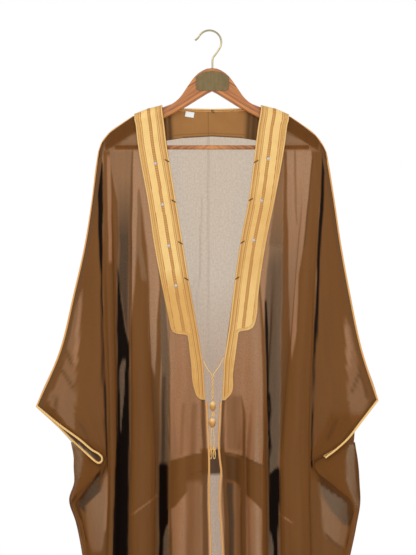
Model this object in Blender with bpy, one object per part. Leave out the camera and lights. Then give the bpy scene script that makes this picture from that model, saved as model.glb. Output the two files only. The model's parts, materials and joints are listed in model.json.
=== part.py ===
"""A sheer bisht cloak on a wooden hanger.

Metres, +Z up, the front faces -Y. The origin is the inner top of the hanger's hook,
where a rail holds it. Every size below is in millimetres, and a "drop" is the distance
below the origin. A "reach" is the distance sideways from the cloak's centre line.
"""

import math

import bmesh
import bpy
import numpy as np
from mathutils import Vector

MM = 0.001

# Main sizes of the cloak
CENTRE_X = 5.2
LENGTH_DROP = 1570.0
WALL = 1.2
SEAM_GAP = 0.3
LEFT = -1
RIGHT = 1
SIDES = {"left": LEFT, "right": RIGHT}
SHARP_DEGREES = 40.0

# Hanger sizes
ARM_HALF_DEPTH = 6.0
ARM_EASE = 0.4
ARM_UNDER_SHOULDER = 2.0
CLOTH_EASE = 0.9
YOKE_CORNER = 2.5
CLOTH_OVER_ARM = ARM_HALF_DEPTH + SEAM_GAP + CLOTH_EASE
BAR_RADIUS = 4.4
BAR_DROP = 233.5
BAR_REACH = 195.0
HOOK_WIRE_RADIUS = 2.0
HOOK_CURVE_RADIUS = 24.0
PLATE_THICKNESS = 1.5

# Trim sizes
PIPING_RADIUS = 2.3
SEAM_PIPING_GAP = 0.4
CUFF_PIPING_GAP = 0.7
EDGE_PIPING_GAP = 0.5
PIPING_AFTER_BAND = 5.0
SHORTEST_PIECE = 6.0
CUFF_TIP_GAP = 4.0
CUFF_TURN = 9.0
CUFF_RUN_OUT = 8.0
NECK_CORD_RADIUS = 1.9
NECK_CORD_REACH = 88.0
BAND_THICKNESS = 1.3
BAND_CLEARANCE = 0.9
TIE_RADIUS = 1.0
TWIST_RADIUS = 1.4
TWIST_TURNS = 3
STEPS_PER_TURN = 8
STRAND_RADIUS = 0.8
BEAD_RADIUS = 5.8
LOWER_BEAD_RADIUS = 6.2
KNOT_RADIUS = 3.4

# How finely each panel is divided
SAMPLES_PER_FOLD = 2
ARM_ANGLES = (8.0, 45.0, 86.0)
BAND_ANGLES = (-34.0, -10.0, *ARM_ANGLES)

# Levels below the arms where the panels have a row of points, at each side
LEVELS = (
    # left, right
    (262.0, 262.0),
    (340.0, 340.0),
    (430.0, 430.0),
    (530.0, 530.0),
    (640.0, 640.0),
    (753.0, 741.0),
    (790.0, 783.0),
    (826.0, 826.0),
    (858.0, 862.0),
    (874.0, 880.0),
    (905.0, 908.0),
    (940.0, 945.0),
    (985.0, 995.0),
    (1090.0, 1090.0),
    (1320.0, 1320.0),
    (LENGTH_DROP, LENGTH_DROP),
)
CHEST_DROP = 340.0
CUFF_DROP = 860.0
CUFF_TIP_ROW = 5
MARGIN_START_ROW = 7
CUFF_END_ROW = 8

# Top line of the shoulders: reach, drop
SHOULDER = {
    "left": ((99.5, 151.0), (128.0, 158.0), (155.4, 169.0), (178.3, 184.3), (205.2, 203.6),
             (220.7, 223.0), (227.5, 242.0)),
    "right": ((97.7, 151.0), (128.0, 158.5), (154.0, 170.0), (181.0, 188.3), (208.0, 209.4),
              (223.3, 230.5), (229.5, 244.0)),
}

# Front edge, from the neck down the opening to the hem: drop, reach
FRONT_EDGE = {
    "left": ((151.0, 99.5), (217.5, 92.7), (314.4, 76.4), (419.7, 59.1), (500.0, 46.4),
             (602.0, 28.1), (662.0, 18.9), (726.6, 14.1), (862.0, 8.5), (932.0, 9.0),
             (1053.0, 5.0), (LENGTH_DROP, 5.0)),
    "right": ((151.0, 97.7), (222.0, 88.4), (325.8, 75.8), (419.7, 57.3), (496.0, 45.8),
              (594.6, 34.2), (662.0, 23.9), (742.7, 20.0), (842.0, 15.5), (876.0, 21.5),
              (932.0, 17.5), (1053.0, 26.0), (LENGTH_DROP, 28.0)),
}

# Outer edge of each front: the shoulder and sleeve seam, the cuff and the side seam
FRONT_SIDE = {
    "left": ((242.0, 227.5), (280.6, 234.2), (365.0, 243.6), (461.0, 260.9), (538.0, 280.0),
             (657.0, 309.0), (741.0, 345.5), (753.0, 352.6), (790.0, 306.0), (826.0, 257.0),
             (858.0, 216.0), (874.0, 221.0), (905.0, 245.0), (940.0, 273.0), (985.0, 259.0),
             (1053.0, 243.0), (LENGTH_DROP, 236.0)),
    "right": ((244.0, 229.5), (292.0, 238.8), (399.6, 254.0), (469.0, 265.5), (607.0, 292.5),
              (668.7, 308.0), (741.0, 333.5), (783.0, 300.0), (826.0, 263.0), (862.0, 203.0),
              (880.0, 208.0), (908.0, 240.0), (945.0, 280.0), (995.0, 275.0), (1053.0, 260.0),
              (LENGTH_DROP, 250.0)),
}

# Outline of the back below the sleeve tips: drop, reach
BACK_SIDE = {
    "left": ((753.0, 352.6), (790.0, 316.0), (826.0, 282.0), (858.0, 276.0), (905.0, 275.0),
             (950.0, 288.0), (985.0, 272.5), (1053.0, 254.0), (LENGTH_DROP, 262.0)),
    "right": ((741.0, 333.5), (783.0, 304.0), (826.0, 288.0), (893.0, 294.0), (945.0, 296.0),
              (985.0, 294.0), (1031.0, 275.0), (1053.0, 272.0), (LENGTH_DROP, 274.0)),
}

# How far the back's side margin reaches in over the front, down to the side seam
MARGIN_EDGE = {
    "left": ((826.0, 276.0), (858.0, 246.0), (874.0, 221.0)),
    "right": ((826.0, 282.0), (862.0, 240.0), (880.0, 208.0)),
}

# Mean depth of the panels in front of and behind the hanger's middle: drop, depth
FRONT_DEPTH = ((150.0, CLOTH_OVER_ARM), (262.0, 12.0), (340.0, 16.0), (430.0, 20.0),
               (530.0, 24.0), (640.0, 28.0), (753.0, 32.0), (858.0, 35.0), (1080.0, 40.0),
               (LENGTH_DROP, 46.0))
BACK_DEPTH = ((150.0, 9.6), (262.0, 13.0), (340.0, 17.0), (530.0, 25.0), (753.0, 34.0),
              (858.0, 38.0), (1080.0, 44.0), (LENGTH_DROP, 50.0))
SLEEVE_DEPTH = ((242.0, 9.0), (430.0, 12.0), (640.0, 15.0), (753.0, 17.0), (826.0, 21.0),
                (858.0, 26.0), (940.0, 31.0), (LENGTH_DROP, 34.0))
SEAM_DEPTH = WALL / 2 + SEAM_GAP
CUFF_DEPTH = ((741.0, SEAM_DEPTH), (790.0, 11.0), (826.0, 17.0), (858.0, 26.0), (880.0, 30.0),
              (LENGTH_DROP, 32.0))
MARGIN_DEPTH = ((826.0, 6.0), (858.0, 20.0), (880.0, 30.0), (LENGTH_DROP, 32.0))
MARGIN_BULGE = 3.0

# Folds of the fronts, from the opening outwards. Each has its reach at the chest, the cuffs
# and the hem, its depth before the mean at the cuffs and the hem, and the drop it starts at.
FRONT_FOLDS = {
    "left": (
        # name, chest, cuff, hem, cuff depth, hem depth, starts
        ("edge slope", 84.0, 30.0, 34.0, 0.0, -2.0, 760.0),
        ("centre crest", 96.0, 62.0, 66.0, 13.0, 16.0, 700.0),
        ("centre valley side", 108.0, 88.0, 92.0, -6.0, -8.0, 640.0),
        ("centre valley floor", 120.0, 106.0, 112.0, -17.0, -19.0, 600.0),
        ("centre valley turn", 130.0, 121.0, 128.0, -13.0, -15.0, 600.0),
        ("roll inner side", 138.0, 112.0, 119.0, 5.0, 5.0, 560.0),
        ("roll crest", 147.0, 136.0, 143.0, 19.0, 23.0, 500.0),
        ("roll outer side", 158.0, 161.0, 169.0, 7.0, 7.0, 420.0),
        ("dark valley side", 166.0, 155.0, 163.0, -11.0, -13.0, 240.0),
        ("dark valley floor", 182.0, 177.0, 186.0, -20.0, -24.0, 220.0),
        ("dark valley turn", 197.0, 195.0, 206.0, -11.0, -13.0, 240.0),
        ("side crest inner side", 203.0, 186.0, 197.0, 4.0, 4.0, 260.0),
        ("side crest", 212.0, 200.0, 214.0, 12.0, 14.0, 240.0),
        ("sleeve fold", 226.0, 209.0, 224.0, -7.0, -7.0, 250.0),
    ),
    "right": (
        ("first crest", 84.0, 44.0, 50.0, 11.0, 14.0, 735.0),
        ("thin valley", 94.0, 66.0, 73.0, -7.0, -8.0, 735.0),
        ("second crest inner side", 103.0, 76.0, 84.0, 8.0, 9.0, 700.0),
        ("second crest", 112.0, 91.0, 100.0, 16.0, 20.0, 640.0),
        ("second crest outer side", 122.0, 107.0, 117.0, 5.0, 5.0, 560.0),
        ("grey valley side", 141.0, 101.0, 111.0, -12.0, -14.0, 260.0),
        ("grey valley floor", 160.0, 122.0, 132.0, -20.0, -24.0, 230.0),
        ("grey valley turn", 176.0, 143.0, 153.0, -13.0, -15.0, 260.0),
        ("roll inner side", 182.0, 135.0, 146.0, 3.0, 3.0, 260.0),
        ("roll crest", 194.0, 164.0, 178.0, 17.0, 22.0, 260.0),
        ("roll outer side", 206.0, 188.0, 206.0, 6.0, 6.0, 260.0),
        ("sleeve fold", 217.0, 197.0, 214.0, -7.0, -7.0, 250.0),
    ),
}

# Folds of the back, from the centre outwards. Depths are behind the mean.
BACK_FOLDS = {
    "left": (
        # name, chest, cuff, hem, cuff depth, hem depth, starts
        ("centre crease", 27.0, 28.0, 30.0, -5.0, -8.0, 380.0),
        ("first ripple", 56.0, 58.0, 62.0, 7.0, 12.0, 420.0),
        ("first valley", 84.0, 86.0, 92.0, -7.0, -12.0, 380.0),
        ("neck corner", 98.0, 101.0, 109.0, 2.0, 2.0, 380.0),
        ("second ripple", 112.0, 116.0, 126.0, 10.0, 15.0, 300.0),
        ("second valley", 140.0, 143.0, 154.0, -10.0, -15.0, 260.0),
        ("third ripple", 164.0, 170.0, 184.0, 11.0, 16.0, 260.0),
        ("third valley", 190.0, 193.0, 208.0, -9.0, -14.0, 260.0),
        ("side ripple", 214.0, 216.0, 230.0, 8.0, 12.0, 260.0),
    ),
    "right": (
        ("centre ripple", 30.0, 31.0, 34.0, 6.0, 10.0, 460.0),
        ("first valley", 60.0, 63.0, 68.0, -6.0, -10.0, 420.0),
        ("first ripple", 86.0, 90.0, 98.0, 9.0, 14.0, 340.0),
        ("neck corner", 101.0, 104.0, 113.0, -1.0, -1.0, 340.0),
        ("second valley", 116.0, 119.0, 128.0, -10.0, -15.0, 280.0),
        ("second ripple", 142.0, 148.0, 160.0, 10.0, 16.0, 260.0),
        ("third valley", 168.0, 174.0, 188.0, -9.0, -14.0, 260.0),
        ("third ripple", 192.0, 199.0, 214.0, 9.0, 13.0, 260.0),
        ("side valley", 215.0, 221.0, 236.0, -4.0, -8.0, 260.0),
    ),
}
SMALLEST_STEP = 2.6
# Stretch of shoulder over which the back slips from the arm's top to behind it
NECK_TURN = 36.0

# Back neck line and the facing under it
NECK_EDGE = ((0.0, 157.4), (60.0, 156.2), (99.5, 151.0))
FACING_EDGE = ((0.0, 210.6), (60.0, 214.0), (92.0, 219.0), (102.0, 221.0))
FACING_REACH = 98.0
FACING_THICKNESS = 1.0
FACING_EASE = 0.2
FACING_UNDER_NECK = 2.0

# Outer edge of the bands: drop, reach
BAND_EDGE = {
    "left": ((169.0, 155.5), (238.2, 147.9), (337.3, 129.4), (459.9, 111.2), (581.1, 85.6),
             (594.0, 81.5), (602.0, 73.0), (607.0, 58.0), (612.0, 48.8), (719.2, 35.0),
             (733.0, 29.0), (739.0, 20.0)),
    "right": ((169.0, 154.0), (238.2, 145.0), (348.9, 124.2), (419.7, 109.0), (512.1, 94.3),
              (576.5, 88.4), (589.0, 82.0), (596.0, 72.0), (600.0, 57.0), (606.0, 52.5),
              (685.0, 42.2), (728.8, 36.6), (740.0, 26.0)),
}
BAND_ROWS = (190.0, 225.0, 262.0, 340.0, 430.0, 530.0, 570.0, 586.0, 597.0, 604.0, 612.0,
             640.0, 662.0, 719.0, 731.0, 738.0)
# Cross-section of a band: share of its width from the opening, height of the braid
BAND_PROFILE = ((0.0, 0.0), (0.06, 0.9), (0.14, 0.1), (0.3, 0.5), (0.43, 0.1), (0.5, 0.9),
                (0.57, 0.1), (0.75, 0.5), (0.88, 0.1), (0.95, 0.9), (1.0, 0.0))

# Wooden hanger: reach, drop of its top and underside. Past the yoke its top follows the shoulder.
YOKE_TOP = ((0.0, 74.0), (10.0, 75.3), (18.0, 78.6), (27.0, 84.2), (34.6, 91.2), (41.5, 100.0),
            (48.4, 110.0), (53.6, 117.6), (59.2, 126.0), (65.4, 133.8), (73.0, 140.8), (80.5, 145.8),
            (87.5, 148.4))
YOKE_WIDEST = 90.0
ARM_STATIONS = (100.0, 115.0, 128.0, 142.0, 155.4, 168.0, 180.0, 193.0, 206.0, 214.0)
ROUNDING_START = 40.0
ROUNDING_LENGTH = 45.0
YOKE_UNDER = ((0.0, 121.0), (8.0, 124.5), (52.0, 152.0), (97.0, 175.5), (160.0, 205.0), (214.0, 241.0))

# Hook: x, drop of its flared tip, then of its shank down to the yoke
HOOK_TIP = ((-29.0, 17.7), (-25.9, 16.2), (-22.9, 13.2))
HOOK_SHANK = ((13.0, 45.4), (8.2, 51.4), (6.5, 56.0), (6.2, 61.0), (6.2, 73.6))
HOOK_FIRST_ANGLE = 144
HOOK_LAST_ANGLE = -36
HOOK_ANGLE_STEP = 12

# Plate on the yoke: distance from its centre line, drop
PLATE_CENTRE_X = 6.2
PLATE_OUTLINE = ((-33.0, 92.0), (-21.0, 84.0), (0.0, 80.0), (21.0, 84.0), (33.0, 92.0),
                 (33.0, 115.5), (27.5, 119.8), (-27.5, 119.8), (-33.0, 115.5))

# Label on the facing
LABEL_CENTRE = (-45.0, 166.6)
LABEL_SIZE = (18.0, 11.0)
LABEL_THICKNESS = 1.0
LABEL_TILT = -9.0
LABEL_EASE = 0.3

# Tie: places along it, as x, depth before the hanger's middle, drop
TIE_MEETING = (6.0, 34.0, 690.0)
TIE_TWIST_END = 738.0
TIE_STARTS = {"left": (661.0, -1.5), "right": (655.0, 1.5)}
BEAD_UPPER_DROPS = (740.8, 761.0)
KNOT_DROPS = (761.6, 773.0)
BEAD_LOWER_DROPS = (773.6, 793.8)
STRAND_END_DROP = 831.0
STRANDS = {"left": 3.2, "right": 9.4}
BEAD_UPPER_SHIFT = 0.6
KNOT_SHIFT = 1.2
BEAD_LOWER_SHIFT = -0.2
# Profile of a tassel's knot: radius, drop below the strand's end
TASSEL_PROFILE = ((0.0, 0.4), (1.6, 1.2), (2.4, 3.6), (1.3, 6.4), (1.2, 9.0), (2.1, 25.4), (0.0, 26.0))


def clear_scene():
    """Remove what the file starts with."""
    for item in list(bpy.data.objects):
        bpy.data.objects.remove(item, do_unlink=True)


def material(name, colour, roughness, metallic=0.0):
    """A Principled material."""
    finish = bpy.data.materials.new(name)
    finish.use_nodes = True
    shader = finish.node_tree.nodes["Principled BSDF"]
    shader.inputs["Base Color"].default_value = (*colour, 1.0)
    shader.inputs["Roughness"].default_value = roughness
    shader.inputs["Metallic"].default_value = metallic
    return finish


def make_materials():
    """All the finishes of the cloak and its hanger."""
    return {
        "cloth": material("sheer brown cloth", (0.17, 0.075, 0.03), 0.75),
        "facing": material("brown facing cloth", (0.15, 0.06, 0.02), 0.8),
        "gold": material("gold braid", (0.72, 0.45, 0.14), 0.45, 0.3),
        "label": material("white label", (0.85, 0.84, 0.8), 0.7),
        "wood": material("varnished wood", (0.42, 0.17, 0.05), 0.35),
        "brass": material("brass wire", (0.5, 0.42, 0.24), 0.3, 1.0),
        "plate": material("bronze plate", (0.22, 0.16, 0.07), 0.4, 0.8),
    }


def place(x, depth, drop):
    """Metres in the part's frame, from x, a depth in front of the middle and a drop."""
    return Vector((x * MM, -depth * MM, -drop * MM))


def finish_mesh(name, bm, finish, smooth=True):
    """Turn a bmesh into a named object with its material."""
    bmesh.ops.recalc_face_normals(bm, faces=bm.faces)
    mesh = bpy.data.meshes.new(name)
    bm.to_mesh(mesh)
    bm.free()
    mesh.materials.append(finish)
    if smooth:
        mesh.shade_smooth()
        mesh.set_sharp_from_angle(angle=math.radians(SHARP_DEGREES))
    item = bpy.data.objects.new(name, mesh)
    bpy.context.collection.objects.link(item)
    return item


def table(value, rows):
    """Value of a two-column table at one place."""
    columns = np.array(rows)
    return float(np.interp(value, columns[:, 0], columns[:, 1]))


def smooth_step(value):
    """0 to 1 with level ends."""
    share = min(max(value, 0.0), 1.0)
    return share * share * (3.0 - 2.0 * share)


def through_knots(knots, samples):
    """A smooth curve through the knots, with this many samples from each to the next."""
    knots = np.array(knots)
    after = np.vstack([knots[2:], 2 * knots[-1] - knots[-2]])
    before = np.vstack([2 * knots[0] - knots[1], knots[:-2]])
    points = []
    for start, first, second, end in zip(before, knots[:-1], knots[1:], after):
        for step in range(samples):
            share = step / samples
            points.append(0.5 * (2 * first + (second - start) * share
                                 + (2 * start - 5 * first + 4 * second - end) * share ** 2
                                 + (3 * first - start - 3 * second + end) * share ** 3))
    points.append(knots[-1])
    return np.array(points)


def fold_knots(folds, drop, inner, outer, chest_inner, chest_outer, mean_depth):
    """Reach and depth of each fold at one level."""
    knots = []
    for _, chest, cuff, hem, cuff_depth, hem_depth, starts in folds:
        if drop < CHEST_DROP:
            share = (chest - chest_inner) / (chest_outer - chest_inner)
            reach = inner + share * (outer - inner)
        else:
            reach = float(np.interp(drop, (CHEST_DROP, CUFF_DROP, LENGTH_DROP), (chest, cuff, hem)))
        full = float(np.interp(drop, (CUFF_DROP, LENGTH_DROP), (cuff_depth, hem_depth)))
        grown = smooth_step((drop - starts) / (CUFF_DROP - starts) * 0.5 + 0.5) * 2.0 - 1.0
        knots.append([reach, mean_depth + full * max(grown, 0.0)])
    return knots


def keep_between(knots, inner, outer):
    """Keep the folds inside the panel's edges, in their order there."""
    count = len(knots)
    for index, knot in enumerate(knots):
        knot[0] = max(knot[0], inner + (index + 1) * SMALLEST_STEP)
        knot[0] = min(knot[0], outer - (count - index) * SMALLEST_STEP)
    return knots


def front_section(side, drop):
    """Knots of one front at one level: reach and depth, from the opening outwards."""
    inner = table(drop, FRONT_EDGE[side])
    outer = table(drop, FRONT_SIDE[side])
    mean_depth = table(drop, FRONT_DEPTH)
    knots = fold_knots(FRONT_FOLDS[side], drop, inner, outer,
                       table(CHEST_DROP, FRONT_EDGE[side]), table(CHEST_DROP, FRONT_SIDE[side]),
                       mean_depth)
    fold_reach = min(knots[-1][0], outer - 2 * SMALLEST_STEP)
    knots.append([(fold_reach + outer) / 2, table(drop, SLEEVE_DEPTH)])
    keep_between(knots, inner, outer)
    return [[inner, mean_depth], *knots, [outer - SEAM_GAP, table(drop, CUFF_DEPTH)]]


def back_half_section(side, drop):
    """Knots of half the back at one level, from beside the centre outwards."""
    outer = back_side(side, drop)
    mean_depth = table(drop, BACK_DEPTH)
    shoulder_reach = SHOULDER[side][-1][0]
    knots = fold_knots(BACK_FOLDS[side], drop, 0.0, min(outer, shoulder_reach * 1.02),
                       0.0, table(CHEST_DROP, FRONT_SIDE[side]), mean_depth)
    fold_reach = min(knots[-1][0], outer - 2 * SMALLEST_STEP)
    knots.append([(fold_reach + outer) / 2, table(drop, SLEEVE_DEPTH)])
    keep_between(knots, 0.0, outer)
    side_depth = SEAM_DEPTH if drop < LEVELS[MARGIN_START_ROW][0] else 0.0
    return [*knots, [outer, side_depth]]


def back_side(side, drop):
    """Reach of the back's outline at one level."""
    if drop <= BACK_SIDE[side][0][0]:
        return table(drop, FRONT_SIDE[side])
    return table(drop, BACK_SIDE[side])


def margin_section(side, drop):
    """Knots of the back's side margin: its inner edge, its middle and its bulge."""
    outline = back_side(side, drop)
    if drop < MARGIN_EDGE[side][-1][0]:
        edge = table(drop, MARGIN_EDGE[side])
    else:
        edge = table(drop, FRONT_SIDE[side])
    depth = table(drop, MARGIN_DEPTH)
    return [[edge + SEAM_GAP, -depth],
            [(edge + outline) / 2, -depth],
            [outline - MARGIN_BULGE, -depth / 2]]


def front_grid(side, samples=SAMPLES_PER_FOLD):
    """Middle surface of one front, row by row, each point as reach, depth and drop."""
    shoulder = SHOULDER[side]
    top = through_knots(front_section(side, shoulder[-1][1]), samples)
    inner, outer = shoulder[0][0], shoulder[-1][0]
    span = top[:, 0] - top[0, 0]
    reaches = inner + span / span[-1] * (outer - inner)
    rows = []
    for angle in ARM_ANGLES:
        turn = math.radians(angle)
        rows.append([(reach, CLOTH_OVER_ARM * math.sin(turn),
                      table(reach, shoulder) + CLOTH_OVER_ARM * (1 - math.cos(turn)))
                     for reach in reaches])
    levels = side_levels(side)
    first = [(reach, depth, levels[0])
             for reach, depth in through_knots(front_section(side, levels[0]), samples)]
    rows.append([tuple((np.array(high) + np.array(low)) / 2)
                 for high, low in zip(rows[-1], first)])
    rows.append(first)
    for level in levels[1:]:
        rows.append([(reach, depth, level)
                     for reach, depth in through_knots(front_section(side, level), samples)])
    seam_rows = len(ARM_ANGLES) + 2 + CUFF_TIP_ROW
    for row in rows[:seam_rows]:
        reach, _, drop = row[-1]
        row[-1] = (reach, SEAM_DEPTH, drop)
    return rows


def neck_drop(reach):
    """Drop of the back's top edge at a reach from the centre."""
    return table(reach, NECK_EDGE)


def back_top(side, reach, angle):
    """A point of the back over the hanger's arm, or behind it at the neck."""
    shoulder = SHOULDER[side]
    neck_reach = shoulder[0][0]
    behind = smooth_step((neck_reach + NECK_TURN - reach) / NECK_TURN)
    turn = math.radians(angle + (90.0 - angle) * behind)
    over_drop = table(reach, shoulder) + CLOTH_OVER_ARM * (1 - math.cos(turn))
    neck = neck_drop(min(reach, neck_reach)) + angle * 0.05
    share = smooth_step((neck_reach + 6.0 - reach) / 6.0)
    depth = CLOTH_OVER_ARM * math.sin(turn)
    depth += (table(neck, BACK_DEPTH) - depth) * smooth_step((neck_reach + 14.0 - reach) / 14.0)
    return reach, depth, over_drop + (neck - over_drop) * share


def back_row(left, right, centre_depth, samples):
    """One whole row of the back from the knots of its halves."""
    knots = [[-reach, depth] for reach, depth in reversed(left)]
    knots.append([0.0, centre_depth])
    knots.extend([reach, depth] for reach, depth in right)
    return through_knots(knots, samples)


def back_grid(samples=SAMPLES_PER_FOLD):
    """Middle surface of the back with its side margins, each point as x, depth and drop."""
    def whole_section(levels):
        left = margin_section("left", levels[0])
        right = margin_section("right", levels[1])
        halves = [back_half_section("left", levels[0]) + left[::-1],
                  back_half_section("right", levels[1]) + right[::-1]]
        centre = table(levels[0], BACK_DEPTH)
        points = back_row(halves[0], halves[1], centre, samples)
        widest = (points[-1][0] - points[0][0]) or 1.0
        row = []
        for x, depth in points:
            share = min(max((x - points[0][0]) / widest, 0.0), 1.0)
            row.append((x, depth, levels[0] + (levels[1] - levels[0]) * share))
        return row

    top_levels = (SHOULDER["left"][-1][1], SHOULDER["right"][-1][1])
    first = whole_section(LEVELS[0])
    spread = whole_section(top_levels)
    margin_points = len(margin_section("left", LEVELS[0][0])) * samples
    rows = []
    for angle in ARM_ANGLES:
        row = []
        for x, _, _ in spread:
            side = "left" if x < 0 else "right"
            reach = min(abs(x), SHOULDER[side][-1][0])
            reach, depth, drop = back_top(side, reach, angle)
            row.append((math.copysign(reach, x), depth, drop))
        rows.append(row)
    rows.append([tuple((np.array(high) + np.array(low)) / 2) for high, low in zip(rows[-1], first)])
    rows.append(first)
    for levels in LEVELS[1:]:
        rows.append(whole_section(levels))
    seam_rows = len(ARM_ANGLES) + 2 + CUFF_TIP_ROW
    for row in rows[:seam_rows]:
        for column in (margin_points, len(row) - 1 - margin_points):
            x, _, drop = row[column]
            row[column] = (x, SEAM_DEPTH, drop)
    return rows, margin_points


def bmesh_from_grid(rows, to_place):
    """A grid of faces through rows of points. Gives the bmesh and its points by row."""
    bm = bmesh.new()
    across = len(rows[0]) - 1
    down = len(rows) - 1
    bmesh.ops.create_grid(bm, x_segments=across, y_segments=down, size=0.5)
    corners = {}
    for vert in bm.verts:
        column = round((vert.co.x + 0.5) * across)
        row = round((vert.co.y + 0.5) * down)
        vert.co = to_place(rows[row][column])
        corners[vert] = (row, column)
    return bm, corners


def thicken(bm, thickness):
    """Give a sheet of faces its wall, half to each side."""
    bm.normal_update()
    half = thickness / 2 * MM
    old = list(bm.verts)
    normals = {tuple(round(c, 9) for c in vert.co): vert.normal.copy() for vert in old}
    shifts = {vert: vert.normal * -half for vert in old}
    grown = bmesh.ops.extrude_face_region(bm, geom=list(bm.faces))
    for item in grown["geom"]:
        if isinstance(item, bmesh.types.BMVert):
            item.co += normals[tuple(round(c, 9) for c in item.co)] * half
    for vert, shift in shifts.items():
        vert.co += shift


def build_front(side, finish):
    """One front panel with its half of the sleeve."""
    sign = SIDES[side]
    bm, _ = bmesh_from_grid(front_grid(side), lambda p: place(CENTRE_X + sign * p[0], p[1], p[2]))
    thicken(bm, WALL)
    return finish_mesh(f"front_{side}", bm, finish)


def build_back(finish):
    """The back panel, its sleeve halves and its side margins."""
    rows, margin_points = back_grid()
    bm, corners = bmesh_from_grid(rows, lambda p: place(CENTRE_X + p[0], -p[1], p[2]))
    last_column = len(rows[0]) - 1
    first_margin_row = len(ARM_ANGLES) + 1 + MARGIN_START_ROW

    def is_cut_away(face):
        above = min(corners[vert][0] for vert in face.verts) < first_margin_row
        left = max(corners[vert][1] for vert in face.verts) <= margin_points
        right = min(corners[vert][1] for vert in face.verts) >= last_column - margin_points
        return above and (left or right)

    bmesh.ops.delete(bm, geom=[face for face in bm.faces if is_cut_away(face)], context="FACES")
    thicken(bm, WALL)
    return finish_mesh("back", bm, finish)


def build_facing(finish):
    """The opaque facing inside the back neck."""
    rows = []
    clearance = WALL / 2 + SEAM_GAP + FACING_THICKNESS / 2 + FACING_EASE
    reaches = np.linspace(-FACING_REACH, FACING_REACH, 13)
    for share in (0.0, 0.33, 0.66, 1.0):
        row = []
        for reach in reaches:
            top = neck_drop(abs(reach)) + FACING_UNDER_NECK
            drop = top + (table(abs(reach), FACING_EDGE) - top) * share
            row.append((reach, table(drop, BACK_DEPTH) - clearance, drop))
        rows.append(row)
    bm, _ = bmesh_from_grid(rows, lambda p: place(CENTRE_X + p[0], -p[1], p[2]))
    thicken(bm, FACING_THICKNESS)
    return finish_mesh("neck_facing", bm, finish)


def build_label(finish):
    """The blank label on the facing."""
    bm = bmesh.new()
    bmesh.ops.create_cube(bm, size=1.0)
    width, height = LABEL_SIZE
    turn = math.radians(LABEL_TILT)
    under = WALL / 2 + SEAM_GAP + FACING_THICKNESS + FACING_EASE
    middle = table(LABEL_CENTRE[1], BACK_DEPTH) - under - SEAM_GAP - LABEL_THICKNESS / 2 - LABEL_EASE
    for vert in bm.verts:
        x, y, z = vert.co.x * width, vert.co.y * LABEL_THICKNESS, vert.co.z * height
        vert.co = place(LABEL_CENTRE[0] + x * math.cos(turn) - z * math.sin(turn),
                        -(middle + y), LABEL_CENTRE[1] - x * math.sin(turn) - z * math.cos(turn))
    return finish_mesh("label", bm, finish, smooth=False)


def band_rows(side):
    """Outer surface of a band, row by row: reach, depth, drop, raise and outward direction."""
    shoulder = SHOULDER[side]
    rows = []
    inner, outer = shoulder[0][0], BAND_EDGE[side][0][1]
    for angle in BAND_ANGLES:
        turn = math.radians(angle)
        row = []
        for share, height in BAND_PROFILE:
            reach = inner + share * (outer - inner)
            row.append((reach, CLOTH_OVER_ARM * math.sin(turn),
                        table(reach, shoulder) + CLOTH_OVER_ARM * (1 - math.cos(turn)), height))
        rows.append(row)
    for level in BAND_ROWS:
        inner = table(level, FRONT_EDGE[side])
        outer = table(level, BAND_EDGE[side])
        row = []
        for share, height in BAND_PROFILE:
            reach = inner + share * (outer - inner)
            row.append((reach, table(level, FRONT_DEPTH), level, height))
        rows.append(row)
    return rows


def build_band(side, finish):
    """One embroidered band, with its braids raised on the outside."""
    sign = SIDES[side]
    rows = band_rows(side)
    bm, corners = bmesh_from_grid(rows, lambda p: place(CENTRE_X + sign * p[0], p[1], p[2]))
    bm.normal_update()
    outwards = 1.0 if sum(face.normal.y for face in bm.faces) < 0 else -1.0
    normals = {corners[vert]: vert.normal * outwards for vert in bm.verts}
    places = {corners[vert]: vert.co.copy() for vert in bm.verts}
    by_place = {tuple(round(c, 9) for c in vert.co): corners[vert] for vert in bm.verts}
    old = list(bm.verts)
    grown = bmesh.ops.extrude_face_region(bm, geom=list(bm.faces))
    new = [item for item in grown["geom"] if isinstance(item, bmesh.types.BMVert)]
    under = WALL / 2 + BAND_CLEARANCE
    for vert in new:
        key = by_place[tuple(round(c, 9) for c in vert.co)]
        height = rows[key[0]][key[1]][3]
        vert.co = places[key] + normals[key] * ((under + BAND_THICKNESS + height) * MM)
    for vert in old:
        key = corners[vert]
        vert.co = places[key] + normals[key] * (under * MM)
    return finish_mesh(f"band_{side}", bm, finish)


def build_tube(name, points, radius, finish, resolution=1):
    """A round cord along points that are already in metres."""
    curve = bpy.data.curves.new(name, "CURVE")
    curve.dimensions = "3D"
    curve.bevel_depth = radius * MM
    curve.bevel_resolution = resolution
    curve.use_fill_caps = True
    spline = curve.splines.new("POLY")
    spline.points.add(len(points) - 1)
    for slot, point in zip(spline.points, points):
        slot.co = (*point, 1.0)
    curve.materials.append(finish)
    item = bpy.data.objects.new(name, curve)
    bpy.context.collection.objects.link(item)
    return item


def beside(line, stand_off):
    """Move a line of reach, depth and drop sideways, to the left of its way down or out."""
    moved = []
    for index, (reach, depth, drop) in enumerate(line):
        before = line[max(index - 1, 0)]
        after = line[min(index + 1, len(line) - 1)]
        along = Vector((after[0] - before[0], after[2] - before[2])).normalized()
        moved.append((reach + along.y * stand_off, depth, drop - along.x * stand_off))
    return moved


def side_levels(side):
    """The levels of the rows at one side."""
    column = 0 if side == "left" else 1
    return [level[column] for level in LEVELS]


def placed(side, line):
    """Points in metres from a line of reach, depth and drop at one side."""
    return [place(CENTRE_X + SIDES[side] * reach, depth, drop) for reach, depth, drop in line]


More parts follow.
